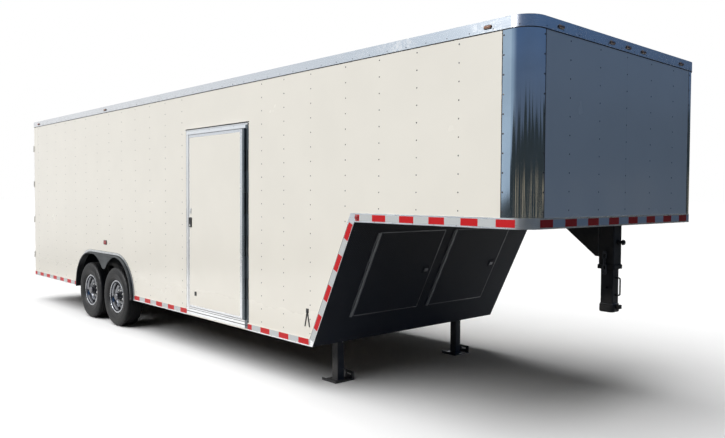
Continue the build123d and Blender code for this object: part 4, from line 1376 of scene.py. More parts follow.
@dataclass
class RoofEdge:
    """The roof, its edge trim, the seal below it and the marker lamps."""

    at: Layout
    screw_pitch: float = 8 * 25.4 * MM
    screw_margin: float = 0.05
    screw_rise: float = 0.016
    seal_h: float = 0.005
    seal_t: float = 0.004
    bead: Flat = (0.004, 0.007)
    bead_t: float = 0.0010
    lamp_z: float = 2.900
    amber_side_lamps: Flat = (0.342, 6.775)
    red_side_lamp: float = 9.473
    front_lamps: tuple[float, ...] = (-0.950, -0.250, 0.0, 0.250, 0.950)
    rear_lamps: tuple[float, ...] = (-0.1524, 0.0, 0.1524)
    lamp_l: float = 0.070
    lamp_h: float = 0.030
    lamp_out: float = 0.014

    def round_all(self, out: float) -> list[tuple[Flat, Flat]]:
        """The box's plan outline from the right side's rear end, round the front, to the left side's."""
        at = self.at
        length = at.front_x - at.rear_x - at.corner_r
        steps = [-length, 0.0] + [at.corner_r * pi / 2 * k / 12 for k in range(1, 13)]
        steps += [at.round_length - s for s in reversed(steps)]
        return [at.round_front(s, out) for s in steps]

    def oval(self, radius: float, height: float) -> list[Vector]:
        """A slot's outline at a height, on a lamp's own plane."""
        half = (self.lamp_l - self.lamp_h) / 2
        return [Vector((x + (half if x > 0 else -half), y, height)) for x, y in circle(radius, 24, pi / 24)]

    def lamp(self) -> tuple[Mesh, Mesh]:
        """One lamp's domed lens and its base, on its own plane with local Z out."""
        reach = self.lamp_h / 2
        lens = [(reach - 0.0030, 0.0), (reach - 0.0035, 0.008), (reach - 0.0055, 0.0115),
                (reach - 0.009, 0.0134), (0.001, self.lamp_out)]
        base = [(reach, 0.0), (reach, 0.0030), (reach - 0.0012, 0.0042), (reach - 0.0034, 0.0042),
                (reach - 0.0034, 0.0005)]
        return skin([self.oval(*level) for level in lens]), skin([self.oval(*level) for level in base])

    def side_places(self, setback: float) -> list[Matrix]:
        """The places of a lamp on each side of the trim."""
        return [self.at.on_side(side, self.at.setback(setback), self.lamp_z, self.at.trim_t) for side in Side]

    def lamp_places(self) -> tuple[list[Matrix], list[Matrix]]:
        """Places of the amber lamps and of the red ones at the rear."""
        at = self.at
        amber = [place for setback in self.amber_side_lamps for place in self.side_places(setback)]
        amber += [frame_at((at.front_x + at.trim_t, y, self.lamp_z), (1, 0, 0)) for y in self.front_lamps]
        red = self.side_places(self.red_side_lamp)
        red += [frame_at((at.rear_x - at.trim_t, y, self.lamp_z), (-1, 0, 0)) for y in self.rear_lamps]
        return amber, red

    def screws(self) -> Mesh:
        """Screws along the trim."""
        at = self.at
        places = []
        length = at.front_x - at.rear_x - at.corner_r
        for s in spread(-length + self.screw_margin, length + at.round_length - self.screw_margin,
                        self.screw_pitch):
            mirrored = s > at.round_length / 2
            (x, y), way = at.round_front(at.round_length - s if mirrored else s, at.trim_t)
            flip = -1 if mirrored else 1
            places.append(frame_at((x, y * flip, at.trim_low + self.screw_rise), (way[0], way[1] * flip, 0)))
        return scatter(screw_head(3.6 * MM, 1.8 * MM), places)

    def build(self, frame: dict) -> None:
        """Dresses the roof's edge."""
        at = self.at
        dress_node(frame, Paint.roof, "roof")
        dress_node(frame, Paint.trim, "roof_trim")
        seal = ribbon(self.round_all(0.0), at.trim_low - self.seal_h, at.trim_low, self.seal_t)
        seal.piece("roof_seal", Paint.seal)
        low, high = self.bead
        bead = ribbon(self.round_all(at.trim_t), at.trim_low + low, at.trim_low + high, self.bead_t)
        bead.piece("roof_trim_bead", Paint.trim)
        self.screws().piece("roof_trim_screws", Paint.screw_dark)
        amber, red = self.lamp_places()
        lens, base = self.lamp()
        scatter(lens, amber).piece("marker_lenses_amber", Paint.amber)
        scatter(lens, red).piece("marker_lenses_red", Paint.red)
        scatter(base, amber + red).piece("marker_bases", Paint.lock)


@dataclass
class EdgeBand:
    """The bare band along the lower edge, with its reflective tape, screws and reflector."""

    at: Layout
    block: float = 6 * 25.4 * MM
    tape_low: float = 0.011
    tape_high: float = 0.064
    slope_shift: float = 0.007
    tape_t: float = 0.0005
    neck_red: float = 1.3271
    neck_end: float = 0.107
    front_red: float = 0.1305
    slope_red_z: float = 1.508
    foot_red: float = 2.298
    rear_red: float = 7.790
    least_tape: float = 0.004
    foot_gap: float = 0.03
    arch_gap: float = 0.01
    rear_gap: float = 0.004
    slope_gap: float = 0.02
    head_gap: float = 0.012
    screw_pitch: float = 8 * 25.4 * MM
    screw_margin: float = 0.03
    screw_rise: float = 0.007
    reflector_setback: float = 1.663
    reflector_z: float = 1.573

    def spans(self, first: float, low: float, high: float) -> tuple[list[Flat], list[Flat]]:
        """Red and silver stretches of tape, one block each in turn.

        Args:
            first: Where one red block starts.
            low: Where the tape starts.
            high: Where it ends.

        Returns:
            The red stretches and the silver ones, cut to the tape's ends.
        """
        red: list[Flat] = []
        silver: list[Flat] = []
        start = first - 2 * self.block * (int((first - low) / (2 * self.block)) + 1)
        number = 0
        while start < high:
            a, b = max(start, low), min(start + self.block, high)
            if b - a > self.least_tape:
                (silver if number % 2 else red).append((a, b))
            start += self.block
            number += 1
        return red, silver

    def straight(self, side: Side, start: Flat, way: Flat, inward: Flat, spans: Iterable[Flat]) -> Mesh:
        """Tape along a straight stretch of the band.

        Args:
            side: The side that it lies on.
            start: Where the stretch's distance is 0, in X and Z.
            way: Its direction.
            inward: The direction from the box's edge into the wall.
            spans: The pieces of tape, as distances.

        Returns:
            The tape.
        """
        y = side.value * (self.at.side_y + self.at.band_t)
        shift = self.slope_shift if inward[0] else 0.0
        low, high = self.tape_low - shift, self.tape_high - shift
        made = Mesh()
        for a, b in spans:
            corners = [(start[0] + way[0] * s + inward[0] * t, start[1] + way[1] * s + inward[1] * t)
                       for s, t in ((a, low), (b, low), (b, high), (a, high))]
            made.add(plate(corners, y, side.value * self.tape_t))
        return made

    def side_runs(self, side: Side) -> list[tuple[Flat, Flat, Flat, float, float, float]]:
        """The tape's straight stretches on a side, which the right one's door interrupts.

        Args:
            side: The side that they lie on.

        Returns:
            For each, its start, direction, inward direction, where a red block starts, and its two ends.
        """
        at = self.at
        reach = at.wheel_pitch / 2 + at.arch_r + at.flare_flange + self.arch_gap
        ahead, behind = at.front_x - at.arch_x - reach, at.front_x - at.arch_x + reach
        back, up = (-1.0, 0.0), (0.0, 1.0)
        base = (at.front_x, at.base_z)
        turn = (at.head_x - at.foot_x, at.neck_z - at.base_z)
        length = hypot(*turn)
        down = (-turn[0] / length, -turn[1] / length)
        inward = (-cos(at.slope), sin(at.slope))
        first = (at.neck_z - self.slope_red_z) / cos(at.slope)
        corner_in = at.band_h * tan((pi / 2 - at.slope) / 2)
        foot, rear = at.front_x - at.foot_x + self.foot_gap, at.front_x - at.rear_x - self.rear_gap
        door_rear = at.door_front + at.door_w
        if side is Side.RIGHT:
            runs = [(base, back, up, self.foot_red, foot, at.door_front),
                    (base, back, up, door_rear, door_rear, ahead)]
        else:
            runs = [(base, back, up, self.foot_red, foot, ahead)]
        return runs + [(base, back, up, self.rear_red, behind, rear),
                       ((at.head_x, at.neck_z), down, inward, first, self.slope_gap, length - corner_in)]

    def round_place(self, setback: float) -> float:
        """How far round the plan outline a side's setback lies, also where the corner curves."""
        r = self.at.corner_r
        return r - setback if setback > r else r * asin(1 - setback / r)

    def neck_tape(self) -> tuple[Mesh, Mesh]:
        """The tape round the neck, red and silver: along both sides and across the front."""
        at = self.at
        r, length = at.corner_r, at.round_length
        front = r * acos(1 - self.front_red / r)
        side_ends = (r - (at.front_x - at.head_x) + self.head_gap, self.round_place(self.neck_end))
        side_red = r - self.neck_red - self.block
        runs = ((side_red, side_ends, False), (front, (front, length - front), False),
                (side_red, side_ends, True))
        low, high = at.neck_z + self.tape_low, at.neck_z + self.tape_high
        meshes = (Mesh(), Mesh())
        for first, ends, mirrored in runs:
            for made, spans in zip(meshes, self.spans(first, *ends)):
                for a, b in spans:
                    places = [at.round_front(a + (b - a) * k / 8, at.band_t) for k in range(9)]
                    if mirrored:
                        places = [((x, -y), (way[0], -way[1])) for (x, y), way in reversed(places)]
                    made.add(ribbon(places, low, high, self.tape_t))
        return meshes

    def screws(self, side: Side) -> Mesh:
        """Small screws along the band's lower line."""
        at = self.at
        places = []
        neck = ((at.front_x, at.neck_z), (-1.0, 0.0), (0.0, 1.0), 0.0, at.corner_r, at.front_x - at.head_x)
        for start, way, inward, _, low, high in self.side_runs(side) + [neck]:
            for s in spread(low + self.screw_margin, high - self.screw_margin, self.screw_pitch):
                x = start[0] + way[0] * s + inward[0] * self.screw_rise
                z = start[1] + way[1] * s + inward[1] * self.screw_rise
                places.append(at.on_side(side, x, z, at.band_t))
        return scatter(screw_head(3.2 * MM, 1.5 * MM), places)

    def reflector(self, side: Side) -> Mesh:
        """The round red reflector at the slope's top corner."""
        at = self.at
        dome = lathe([(0.0, 0.0), (0.024, 0.0), (0.024, 0.004), (0.021, 0.0065), (0.012, 0.0085),
                      (0.0, 0.009)], 28)
        x = at.setback(self.reflector_setback)
        return Mesh().add(dome, at.on_side(side, x, self.reflector_z, at.band_t))

    def build(self, frame: dict) -> None:
        """Dresses the band."""
        at = self.at
        band = BandMetal("bare_band", (0.78, 0.79, 0.80), 0.28, (at.foot_x, at.base_z), at.slope,
                         self.tape_high - self.slope_shift + 0.004, at.neck_z - 0.02, SKIN)
        dress_node(frame, band, "edge_band")
        for side in Side:
            red, silver = Mesh(), Mesh()
            for start, way, inward, first, low, high in self.side_runs(side):
                red_spans, silver_spans = self.spans(first, low, high)
                red.add(self.straight(side, start, way, inward, red_spans))
                silver.add(self.straight(side, start, way, inward, silver_spans))
            red.piece(f"tape_red_{side.word}", Paint.tape_red)
            silver.piece(f"tape_silver_{side.word}", Paint.tape_silver)
            self.screws(side).piece(f"band_screws_{side.word}", Paint.screw)
            self.reflector(side).piece(f"round_reflector_{side.word}", Paint.red)
        red, silver = self.neck_tape()
        red.piece("tape_red_neck", Paint.tape_red)
        silver.piece("tape_silver_neck", Paint.tape_silver)


# Side door


@dataclass
class EntryDoor:
    """The side door's seals, edging, hinge strips, sill joints and lock details."""

    at: Layout
    seal_w: float = 0.004
    seal_out: Flat = (-0.014, -0.004)
    lock_setback: float = 4.440
    lock_z: float = 1.447
    lock_out: float = 0.010
    key_drop: float = 0.034
    plate_z: float = 1.575
    plate_t: float = 0.0035
    tray_screw: Flat = (0.0235, 0.050)
    frame_out: float = 0.004
    frame_screw_inset: float = 0.012
    frame_screw_pitch: float = 10 * 25.4 * MM
    frame_screw_ends: Flat = (0.08, 0.06)
    frame_seal_w: Flat = (0.009, 0.013)
    frame_seal_t: float = 0.002
    drip_h: float = 0.012
    drip_over: float = 0.020
    drip_seal_h: float = 0.010
    cover_gap: float = 0.002
    cover_ends: Flat = (0.060, 0.020)
    cover_out: Flat = (0.003, 0.0052)
    dark_from: float = 0.012
    lining_in: float = 0.0375
    edging_from: float = 0.095
    hinge_from: float = 0.055
    edging_top: float = 0.030
    edging_rear: float = 0.018
    edging_low: float = 0.022
    edging_t: float = 0.0012
    strip_gap: float = 0.003
    sill_joint: Flat = (0.030, 0.037)
    foot_joint: Flat = (0.062, 0.067)
    joint_out: Flat = (0.0035, 0.0045)

    def strip(self, x: Flat, z: Flat, out: Flat) -> Mesh:
        """A bar on the right wall's face.

        Args:
            x: Its two ends along X.
            z: Its lower and upper ends.
            out: How far out of the wall its inner and outer faces lie.

        Returns:
            The bar.
        """
        y = -self.at.side_y
        return bar((x[0], y - out[1], z[0]), (x[1], y - out[0], z[1]))

    def seal(self) -> Mesh:
        """The rubber round the leaf's edge."""
        low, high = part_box("entry_door")
        x0, x1, w = low.x, self.at.leaf_front, self.seal_w
        tall = (low.z - w, high.z + w)
        made = self.strip((x0 - w, x0), tall, self.seal_out)
        made.add(self.strip((x1, x1 + w), tall, self.seal_out))
        made.add(self.strip((x0, x1), (low.z - w, low.z), self.seal_out))
        return made.add(self.strip((x0, x1), (high.z, high.z + w), self.seal_out))

    def lock(self) -> tuple[Mesh, Mesh]:
        """The key cylinders, and the plate of the upper one."""
        at, x = self.at, self.at.setback(self.lock_setback)
        barrel = lathe([(0.0105, 0.0), (0.0105, 0.0028), (0.009, 0.0036), (0.0, 0.0036)], 24)
        barrel.add(bar((-0.0012, -0.0055, 0.0034), (0.0012, 0.0055, 0.0040), 0.0002))
        key_z = self.lock_z - self.key_drop
        cylinders = Mesh().add(barrel, at.on_side(Side.RIGHT, x, key_z, self.lock_out))
        cylinders.add(barrel, at.on_side(Side.RIGHT, x, self.plate_z, self.plate_t))
        cover = cushion(rounded(0.040, 0.062, 0.006), self.plate_t, 0.0015)
        return cylinders, Mesh().add(cover, at.on_side(Side.RIGHT, x, self.plate_z))

    def lock_screws(self) -> Mesh:
        """The screws of the lock's tray."""
        x = self.at.setback(self.lock_setback)
        across, rise = self.tray_screw
        places = [self.at.on_side(Side.RIGHT, x + dx, self.lock_z + dz, self.lock_out)
                  for dx in (-across, across) for dz in (-rise, rise)]
        return scatter(screw_head(2.2 * MM, 1.0 * MM), places)

    def frame_screws(self) -> Mesh:
        """The screws that hold the door's frame to the wall."""
        low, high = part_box("door_frame")
        rear, front = self.at.door_ends
        x0, x1 = rear + self.frame_screw_inset, front - self.frame_screw_inset
        z0, z1 = low.z + self.frame_screw_ends[0], high.z - self.frame_screw_ends[1]
        spots = [(x, z) for x in (x0, x1) for z in spread(z0, z1, self.frame_screw_pitch)]
        spots += [(x, high.z - 2 * self.drip_h) for x in spread(x0, x1, self.frame_screw_pitch)]
        places = [self.at.on_side(Side.RIGHT, x, z, self.frame_out) for x, z in spots]
        return scatter(screw_head(3.2 * MM, 1.5 * MM), places)

    def frame_seal(self) -> Mesh:
        """Dark sealant down both jambs outside the door's frame, and a plain dark strip along the top of its
        drip cap.
        """
        low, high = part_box("door_frame")
        x0, x1 = self.at.door_ends
        tall, out = (low.z, high.z - self.drip_h), (0.0, self.frame_seal_t)
        made = self.strip((x0 - self.frame_seal_w[0], x0), tall, out)
        made.add(self.strip((x1, x1 + self.frame_seal_w[1]), tall, out))
        # Over the drip cap: a plain dark strip along the dark line there.
        over = (x0 - self.drip_over, x1 + self.drip_over)
        return made.add(self.strip(over, (high.z, high.z + self.drip_seal_h), out))

    def hinge_cover(self) -> Mesh:
        """The dark steel strip of the hinge on the frame's front jamb."""
        low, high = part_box("door_frame")
        front = self.at.door_ends[1]
        tall = (low.z + self.cover_ends[0], high.z - self.cover_ends[1])
        return self.strip((front - self.at.jamb_w, front - self.cover_gap), tall, self.cover_out)

    def leaf_edging(self) -> tuple[Mesh, Mesh]:
        """The leaf's bright edging, and the dark hinge strip between its knuckles."""
        low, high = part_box("entry_door")
        x0, x1, out = low.x, self.at.leaf_front, (0.0, self.edging_t)
        front, rear, top = x1 - self.edging_from, x0 + self.edging_rear, high.z - self.edging_top
        edging = self.strip((front, x1 - self.hinge_from), (low.z, high.z), out)
        edging.add(self.strip((x0, front), (top, high.z), out))
        edging.add(self.strip((x0, rear), (low.z, top), out))
        edging.add(self.strip((rear, front), (low.z, low.z + self.edging_low), out))
        hinge = (x1 - self.hinge_from, x1 - self.strip_gap)
        return edging, self.strip(hinge, (low.z, high.z), (0.0, 2 * self.edging_t))

    def sill_lines(self) -> Mesh:
        """The dark joints along the sill plate and over it."""
        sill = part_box("door_frame")[0].z
        x0, x1 = self.at.door_ends
        made = Mesh()
        for inset, joint in ((self.frame_out, self.sill_joint), (self.at.jamb_w, self.foot_joint)):
            made.add(self.strip((x0 + inset, x1 - inset), (sill + joint[0], sill + joint[1]), self.joint_out))
        return made

    def build(self, frame: dict) -> None:
        """Dresses the door."""
        at = self.at
        leaf = PaintedSkin("door_skin", SKIN, 0.26, lining_y=at.side_y - self.lining_in, metal_y=-at.side_y)
        dress_node(frame, leaf, "entry_door")
        jamb = JambMetal("door_frame_aluminium", (0.82, 0.83, 0.84), 0.30,
                         at.setback(at.door_front + at.jamb_w) - self.dark_from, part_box("entry_door")[1].z)
        dress_node(frame, jamb, "door_frame")
        dress_node(frame, Paint.lock, "door_latch", "door_holdback")
        self.seal().piece("entry_door_seal", Paint.seal, Body.ENTRY_DOOR)
        cylinders, cover = self.lock()
        cylinders.piece("entry_door_key_cylinders", Paint.zinc, Body.ENTRY_DOOR)
        cover.piece("entry_door_bolt_plate", Paint.zinc, Body.ENTRY_DOOR)
        self.lock_screws().piece("entry_door_lock_screws", Paint.screw, Body.ENTRY_DOOR)
        self.frame_screws().piece("door_frame_screws", Paint.screw)
        self.frame_seal().piece("door_frame_seal", Paint.seal)
        self.hinge_cover().piece("door_hinge_strip", Paint.hinge)
        edging, strip = self.leaf_edging()
        edging.piece("entry_door_edging", Paint.trim, Body.ENTRY_DOOR)
        strip.piece("entry_door_hinge_strip", Paint.hinge, Body.ENTRY_DOOR)
        self.sill_lines().piece("door_sill_joints", Paint.seal)


# Rear


@dataclass
class RearEnd:
    """The rear doors' seals and hinge bolts."""

    at: Layout
    post_w: float = 0.060
    leaf_gap: float = 0.005
    header: float = 0.152
    leaf_low_z: float = 0.502
    strap_from_end: float = 0.240
    straps: int = 4
    strap_face: float = 0.014
    bolt_insets: Flat = (0.045, 0.095)
    seal_w: float = 0.0022
    seal_depth: Flat = (0.004, 0.016)

    def seals(self, side: Side) -> Mesh:
        """The rubber round one leaf."""
        low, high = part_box(f"rear_door_{side.word}")
        x0, x1 = (self.at.rear_x + depth for depth in self.seal_depth)
        w, inner, outer = self.seal_w, self.leaf_gap / 2, self.at.side_y - self.post_w - self.leaf_gap
        y0, y1 = sorted((side.value * inner, side.value * outer))
        made = bar((x0, y0, low.z - w), (x1, y1, low.z))
        made.add(bar((x0, y0, high.z), (x1, y1, high.z + w)))
        made.add(bar((x0, y0 - w, low.z), (x1, y0, high.z)))
        return made.add(bar((x0, y1, low.z), (x1, y1 + w, high.z)))

    def bolts(self, side: Side) -> Mesh:
        """The carriage bolts of the hinge straps, two to each."""
        first = self.leaf_low_z + self.strap_from_end
        last = self.at.roof_under - self.header - self.strap_from_end
        face, edge = self.at.rear_x - self.strap_face, self.at.side_y - self.post_w - self.leaf_gap
        places = []
        for k in range(self.straps):
            z = first + (last - first) * k / (self.straps - 1)
            places += [frame_at((face, side.value * (edge - inset), z), (-1, 0, 0))
                       for inset in self.bolt_insets]
        return scatter(lathe([(0.011, 0.0), (0.0105, 0.002), (0.007, 0.0046), (0.0, 0.0058)], 16), places)

    def build(self, frame: dict) -> None:
        """Dresses the rear end."""
        leaf = PaintedSkin("rear_skin", SKIN, 0.3)
        dress_node(frame, leaf, "rear_door_right", "rear_door_left")
        dress_node(frame, Paint.frame, "rear_frame")
        dress_node(frame, Paint.zinc, "lock_bar_right", "lock_bar_left")
        dress_node(frame, Paint.red, "tail_lamps")
        for side, body in ((Side.RIGHT, Body.REAR_DOOR_RIGHT), (Side.LEFT, Body.REAR_DOOR_LEFT)):
            self.seals(side).piece(f"rear_door_seal_{side.word}", Paint.seal, body)
            self.bolts(side).piece(f"rear_strap_bolts_{side.word}", Paint.zinc, body)


# Slope


@dataclass
class Slope:
    """The tread sheet slope with its two storage hatches."""

    at: Layout
    hatch_w: float = 0.880
    hatch_gap: float = 0.145
    hatch_low_z: float = 0.650
    hatch_high_z: float = 1.435
    edging: float = 0.009
    edging_t: float = 0.0016
    hinge_w: float = 0.040
    latch_in: float = 0.080
    screw_pitch: float = 8 * 25.4 * MM
    screw_inset: float = 0.03
    screw_ends: Flat = (0.08, 0.12)

    def place(self) -> Matrix:
        """The slope's own plane: X across, Y up the slope and Z out of it."""
        a = self.at.slope
        return Matrix.Translation((self.at.foot_x, 0, self.at.base_z)) @ Matrix((
            (0, sin(a), cos(a), 0), (1, 0, 0, 0), (0, cos(a), -sin(a), 0), (0, 0, 0, 1)))

    def up(self, z: float) -> float:
        """How far up the slope a height lies."""
        return (z - self.at.base_z) / cos(self.at.slope)

    def hatch_start(self, side: Side) -> float:
        """Where a hatch's hinged edge lies across the slope."""
        return -self.hatch_gap / 2 - self.hatch_w if side is Side.RIGHT else self.hatch_gap / 2

    def edge_strips(self, side: Side) -> Mesh:
        """The bright edging along a hatch's free, lower and upper edges."""
        low, high = self.up(self.hatch_low_z), self.up(self.hatch_high_z)
        y0 = self.hatch_start(side)
        y1 = y0 + self.hatch_w
        made = bar((y1 - self.edging, low, 0), (y1, high, self.edging_t))
        made.add(bar((y0 + self.hinge_w, low, 0), (y1 - self.edging, low + self.edging, self.edging_t)))
        made.add(bar((y0 + self.hinge_w, high - self.edging, 0), (y1 - self.edging, high, self.edging_t)))
        return Mesh().add(made, self.place())

    def latch_face(self, side: Side) -> Mesh:
        """The bright paddle and rim laid over a hatch's latch."""
        low, high = self.up(self.hatch_low_z), self.up(self.hatch_high_z)
        middle = (self.hatch_start(side) + self.hatch_w - self.latch_in, (low + high) / 2)
        made = cushion(rounded(0.052, 0.034, 0.003), 0.0030, 0.0010, 0.0058)
        made.add(lathe([(0.008, 0.0085), (0.008, 0.0100), (0.0, 0.0104)], 18))
        return Mesh().add(made, self.place() @ Matrix.Translation((*middle, 0)))

    def screws(self) -> Mesh:
        """Screw heads round the slope's sheet."""
        top, reach = self.up(self.at.neck_z), self.at.side_y
        end, side_end = self.screw_ends
        spots = [(y, u) for y in (-reach + self.screw_inset, reach - self.screw_inset)
                 for u in spread(end, top - end, self.screw_pitch)]
        spots += [(y, u) for u in (self.screw_inset, top - self.screw_inset)
                  for y in spread(-reach + side_end, reach - side_end, self.screw_pitch)]
        places = [self.place() @ Matrix.Translation((y, u, 0)) for y, u in spots]
        return scatter(screw_head(4.2 * MM, 1.8 * MM), places)

    def build(self, frame: dict) -> None:
        """Dresses the slope."""
        at = self.at
        sheet = Treadplate("slope_tread", (0.0270, 0.0290, 0.0340), 0.58, (at.foot_x, at.base_z), at.slope,
                           hinge_lines=tuple(self.hatch_start(side) for side in Side),
                           hinge_ends=(self.up(self.hatch_low_z), self.up(self.hatch_high_z)))
        dress_node(frame, sheet, "slope_panel", "hatch_right", "hatch_left")
        for side, body in ((Side.RIGHT, Body.HATCH_RIGHT), (Side.LEFT, Body.HATCH_LEFT)):
            self.edge_strips(side).piece(f"hatch_edging_{side.word}", Paint.edging, body)
            self.latch_face(side).piece(f"hatch_paddle_{side.word}", Paint.edging, body)
        self.screws().piece("slope_screws", Paint.screw_dark)


# Wheels


@dataclass
class Wheel:
    """One wheel: tyre with ribs and sidewall rings, lug nuts, valve, cap ring and rim edge."""

    name: str
    body: str
    centre: Vector
    side: Side
    tyre_r: float = 0.391
    bead: float = 0.0825
    seat_r: float = 0.2030
    foot_r: float = 0.2190
    steps: int = 120
    notch_every: int = 4
    nuts: int = 8
    nut_circle_r: float = 0.0825
    nut_z: float = 0.028
    valve_at: Point = (0.0, 0.176, 0.034)
    valve_lean: float = -24.0
    edge_r: float = 0.2135
    edge_out: float = 0.0066

    def place(self) -> Matrix:
        """The wheel's own place, with Z out of the trailer."""
        return frame_at(self.centre, (0, self.side.value, 0))

    def profile(self) -> list[tuple[float, float, float]]:
        """The tyre's section from its outer bead over the tread to its inner one.

        Returns:
            Points as radius, height and how deep a shoulder notch cuts there.
        """
        r = self.tyre_r
        wall = [(self.seat_r, self.bead), (self.foot_r, self.bead), (self.foot_r + 0.006, self.bead + 0.009),
                (0.240, 0.1035), (0.262, 0.1110), (0.2635, 0.1128), (0.2665, 0.1128), (0.268, 0.1120),
                (0.290, 0.1160), (0.297, 0.1170), (0.318, 0.1160), (0.3195, 0.1174), (0.3225, 0.1172),
                (0.324, 0.1150), (0.345, 0.1130)]
        shoulder = [(0.357, 0.1105, 0.0015), (0.369, 0.1065, 0.004), (0.381, 0.1000, 0.006),
                    (r - 0.0035, 0.0915, 0.006), (r - 0.0018, 0.0860, 0.006)]
        tread = [(r - 0.0085, 0.0845), (r - 0.0085, 0.0812)]
        for start, end in ((0.0800, 0.0500), (0.0430, 0.0170)):
            tread += [(r - 0.0010, start), (r - 0.0002, end), (r - 0.0080, end - 0.0012),
                      (r - 0.0080, end - 0.0058)]
        tread.append((r, 0.0100))
        outer = [(*point, 0) for point in wall] + shoulder + [(*point, 0) for point in tread]
        return outer + [(radius, -height, cut) for radius, height, cut in reversed(outer)]

    def tyre(self) -> Mesh:
        """The tyre, with notches in its shoulders."""
        profile = self.profile()
        rings: list[list[Vector]] = []
        for step, (x, y) in enumerate(circle(1.0, self.steps)):
            notch = step % self.notch_every == 0
            section = [(radius - cut * notch, height) for radius, height, cut in profile]
            rings.append([Vector((radius * x, radius * y, height)) for radius, height in section])
        return skin(rings, closed=True)

    def lugs(self) -> Mesh:
        """Lug nuts round the hub."""
        nut = hex_bolt(0.021, 0.018)
        nut.add(lathe([(0.0085, 0.018), (0.0075, 0.0215), (0.004, 0.0235), (0.0, 0.0240)], 12))
        spots = circle(self.nut_circle_r, self.nuts, pi / self.nuts)
        return scatter(nut, [Matrix.Translation((x, y, self.nut_z)) for x, y in spots])

    def valve(self) -> Mesh:
        """The valve's stem and cap."""
        stem = lathe([(0.004, 0.0), (0.004, 0.018), (0.0055, 0.019), (0.0055, 0.030), (0.0, 0.031)], 12)
        lean = Matrix.Rotation(radians(self.valve_lean), 4, "X")
        return Mesh().add(stem, Matrix.Translation(self.valve_at) @ lean)

    def cap_ring(self) -> Mesh:
        """The raised ring round the hub's cap."""
        return lathe([(0.0490, 0.096), (0.0500, 0.0965), (0.0500, 0.0985), (0.0490, 0.099)], 40)

    def rim_edge(self) -> Mesh:
        """The rolled edge of the wheel's outer flange."""
        path = [(x, y, self.bead + self.edge_out) for x, y in circle(self.edge_r, 64)]
        return tube(path, 0.0032, 8, closed=True)

    def build(self) -> None:
        """Makes the wheel's dressed pieces."""
        place, name = self.place(), self.name
        tyre = Mesh().add(self.tyre(), place).piece(f"detailed_tyre_{name}", Paint.rubber, self.body,
                                                    "tyre_rubber", 30)
        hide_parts(f"tyre_{name}")
        Mesh().add(self.lugs(), place).piece(f"lug_nuts_{name}", Paint.zinc, self.body)
        Mesh().add(self.valve(), place).piece(f"valve_{name}", Paint.seal, self.body)
        Mesh().add(self.cap_ring(), place).piece(f"cap_ring_{name}", Paint.cap_dark, self.body)
        Mesh().add(self.rim_edge(), place).piece(f"rim_edge_{name}", Paint.rim, self.body)


@dataclass
class RunningGear:
    """The four wheels, their axles, wells and arches."""

    at: Layout
    bead_r: float = 0.0035
    bead_in: float = 0.004
    bead_out: float = 0.0345
    seal_r: float = 0.0022
    seal_out: float = 0.003
    screw_in: float = 0.022
    screw_out: float = 0.002
    screw_pitch: float = 0.12

    def arch_path(self, radius: float, steps: int = 16) -> list[Flat]:
        """The arch's outline in X and Z at a radius, from its front foot to its rear one."""
        at = self.at
        points: list[Flat] = []
        half = at.wheel_pitch / 2
        for middle, start in ((at.arch_x + half, 0.0), (at.arch_x - half, pi / 2)):
            turns = [start + pi / 2 * k / steps for k in range(steps + 1)]
            points += [(middle + radius * cos(turn), at.arch_center_z + radius * sin(turn)) for turn in turns]
        return points

    def arch_tube(self, side: Side, radius: float, out: float, thick: float, sides: int) -> Mesh:
        """A thin round bar along an arch.

        Args:
            side: The side that it lies on.
            radius: The arch radius that it follows.
            out: How far out of the side wall its middle lies.
            thick: Its own radius.
            sides: Facets round it.

        Returns:
            The bar.
        """
        y = side.value * (self.at.side_y + out)
        return tube([(x, y, z) for x, z in self.arch_path(radius)], thick, sides)

    def bead(self, side: Side) -> Mesh:
        """The rolled outer edge of an arch flare."""
        return self.arch_tube(side, self.at.arch_r - self.bead_in, self.bead_out, self.bead_r, 8)

    def seal(self, side: Side) -> Mesh:
        """The dark sealant along the flange's edge."""
        return self.arch_tube(side, self.at.arch_r + self.at.flare_flange, self.seal_out, self.seal_r, 6)

    def screws(self, side: Side) -> Mesh:
        """Screws through the flare's flange."""
        path = self.arch_path(self.at.arch_r + self.screw_in)
        out = self.at.band_t + self.screw_out
        places, run = [], 0.0
        for (x0, z0), (x1, z1) in zip(path, path[1:]):
            length = hypot(x1 - x0, z1 - z0)
            run += length
            while run > self.screw_pitch:
                run -= self.screw_pitch
                share = 1 - run / length
                x, z = x0 + (x1 - x0) * share, z0 + (z1 - z0) * share
                places.append(self.at.on_side(side, x, z, out))
        return scatter(screw_head(3.4 * MM, 1.6 * MM), places)

    def build(self, frame: dict) -> None:
        """Dresses the running gear."""
        at = self.at
        arch = ArchSheet("arch_sheet", (0.095, 0.10, 0.105), 0.3, (at.arch_x, at.arch_center_z),
                         at.wheel_pitch / 2, at.arch_r + 0.012)
        dress_node(frame, arch, "fenders")
        dress_node(frame, Paint.well, "wheel_boxes")
        dress_node(frame, Paint.chassis, "axle_front", "axle_rear")
        for side in Side:
            self.bead(side).piece(f"arch_bead_{side.word}", Paint.arch)
            self.seal(side).piece(f"arch_seal_{side.word}", Paint.seal)
            self.screws(side).piece(f"arch_screws_{side.word}", Paint.screw)
            for place in ("front", "rear"):
                name = f"{place}_{side.word}"
                low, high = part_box(f"tyre_{name}")
                middle = (low + high) / 2
                metal = WheelMetal(f"wheel_metal_{name}", (0.20, 0.205, 0.22), 0.16, tuple(middle))
                dress_node(frame, metal, f"rim_{name}")
                dress_node(frame, Paint.cap_dark, f"hub_{name}")
                dress_node(frame, Paint.rubber, f"tyre_{name}")
                Wheel(name, f"wheel_{name}", middle, side).build()


# Coupler and legs


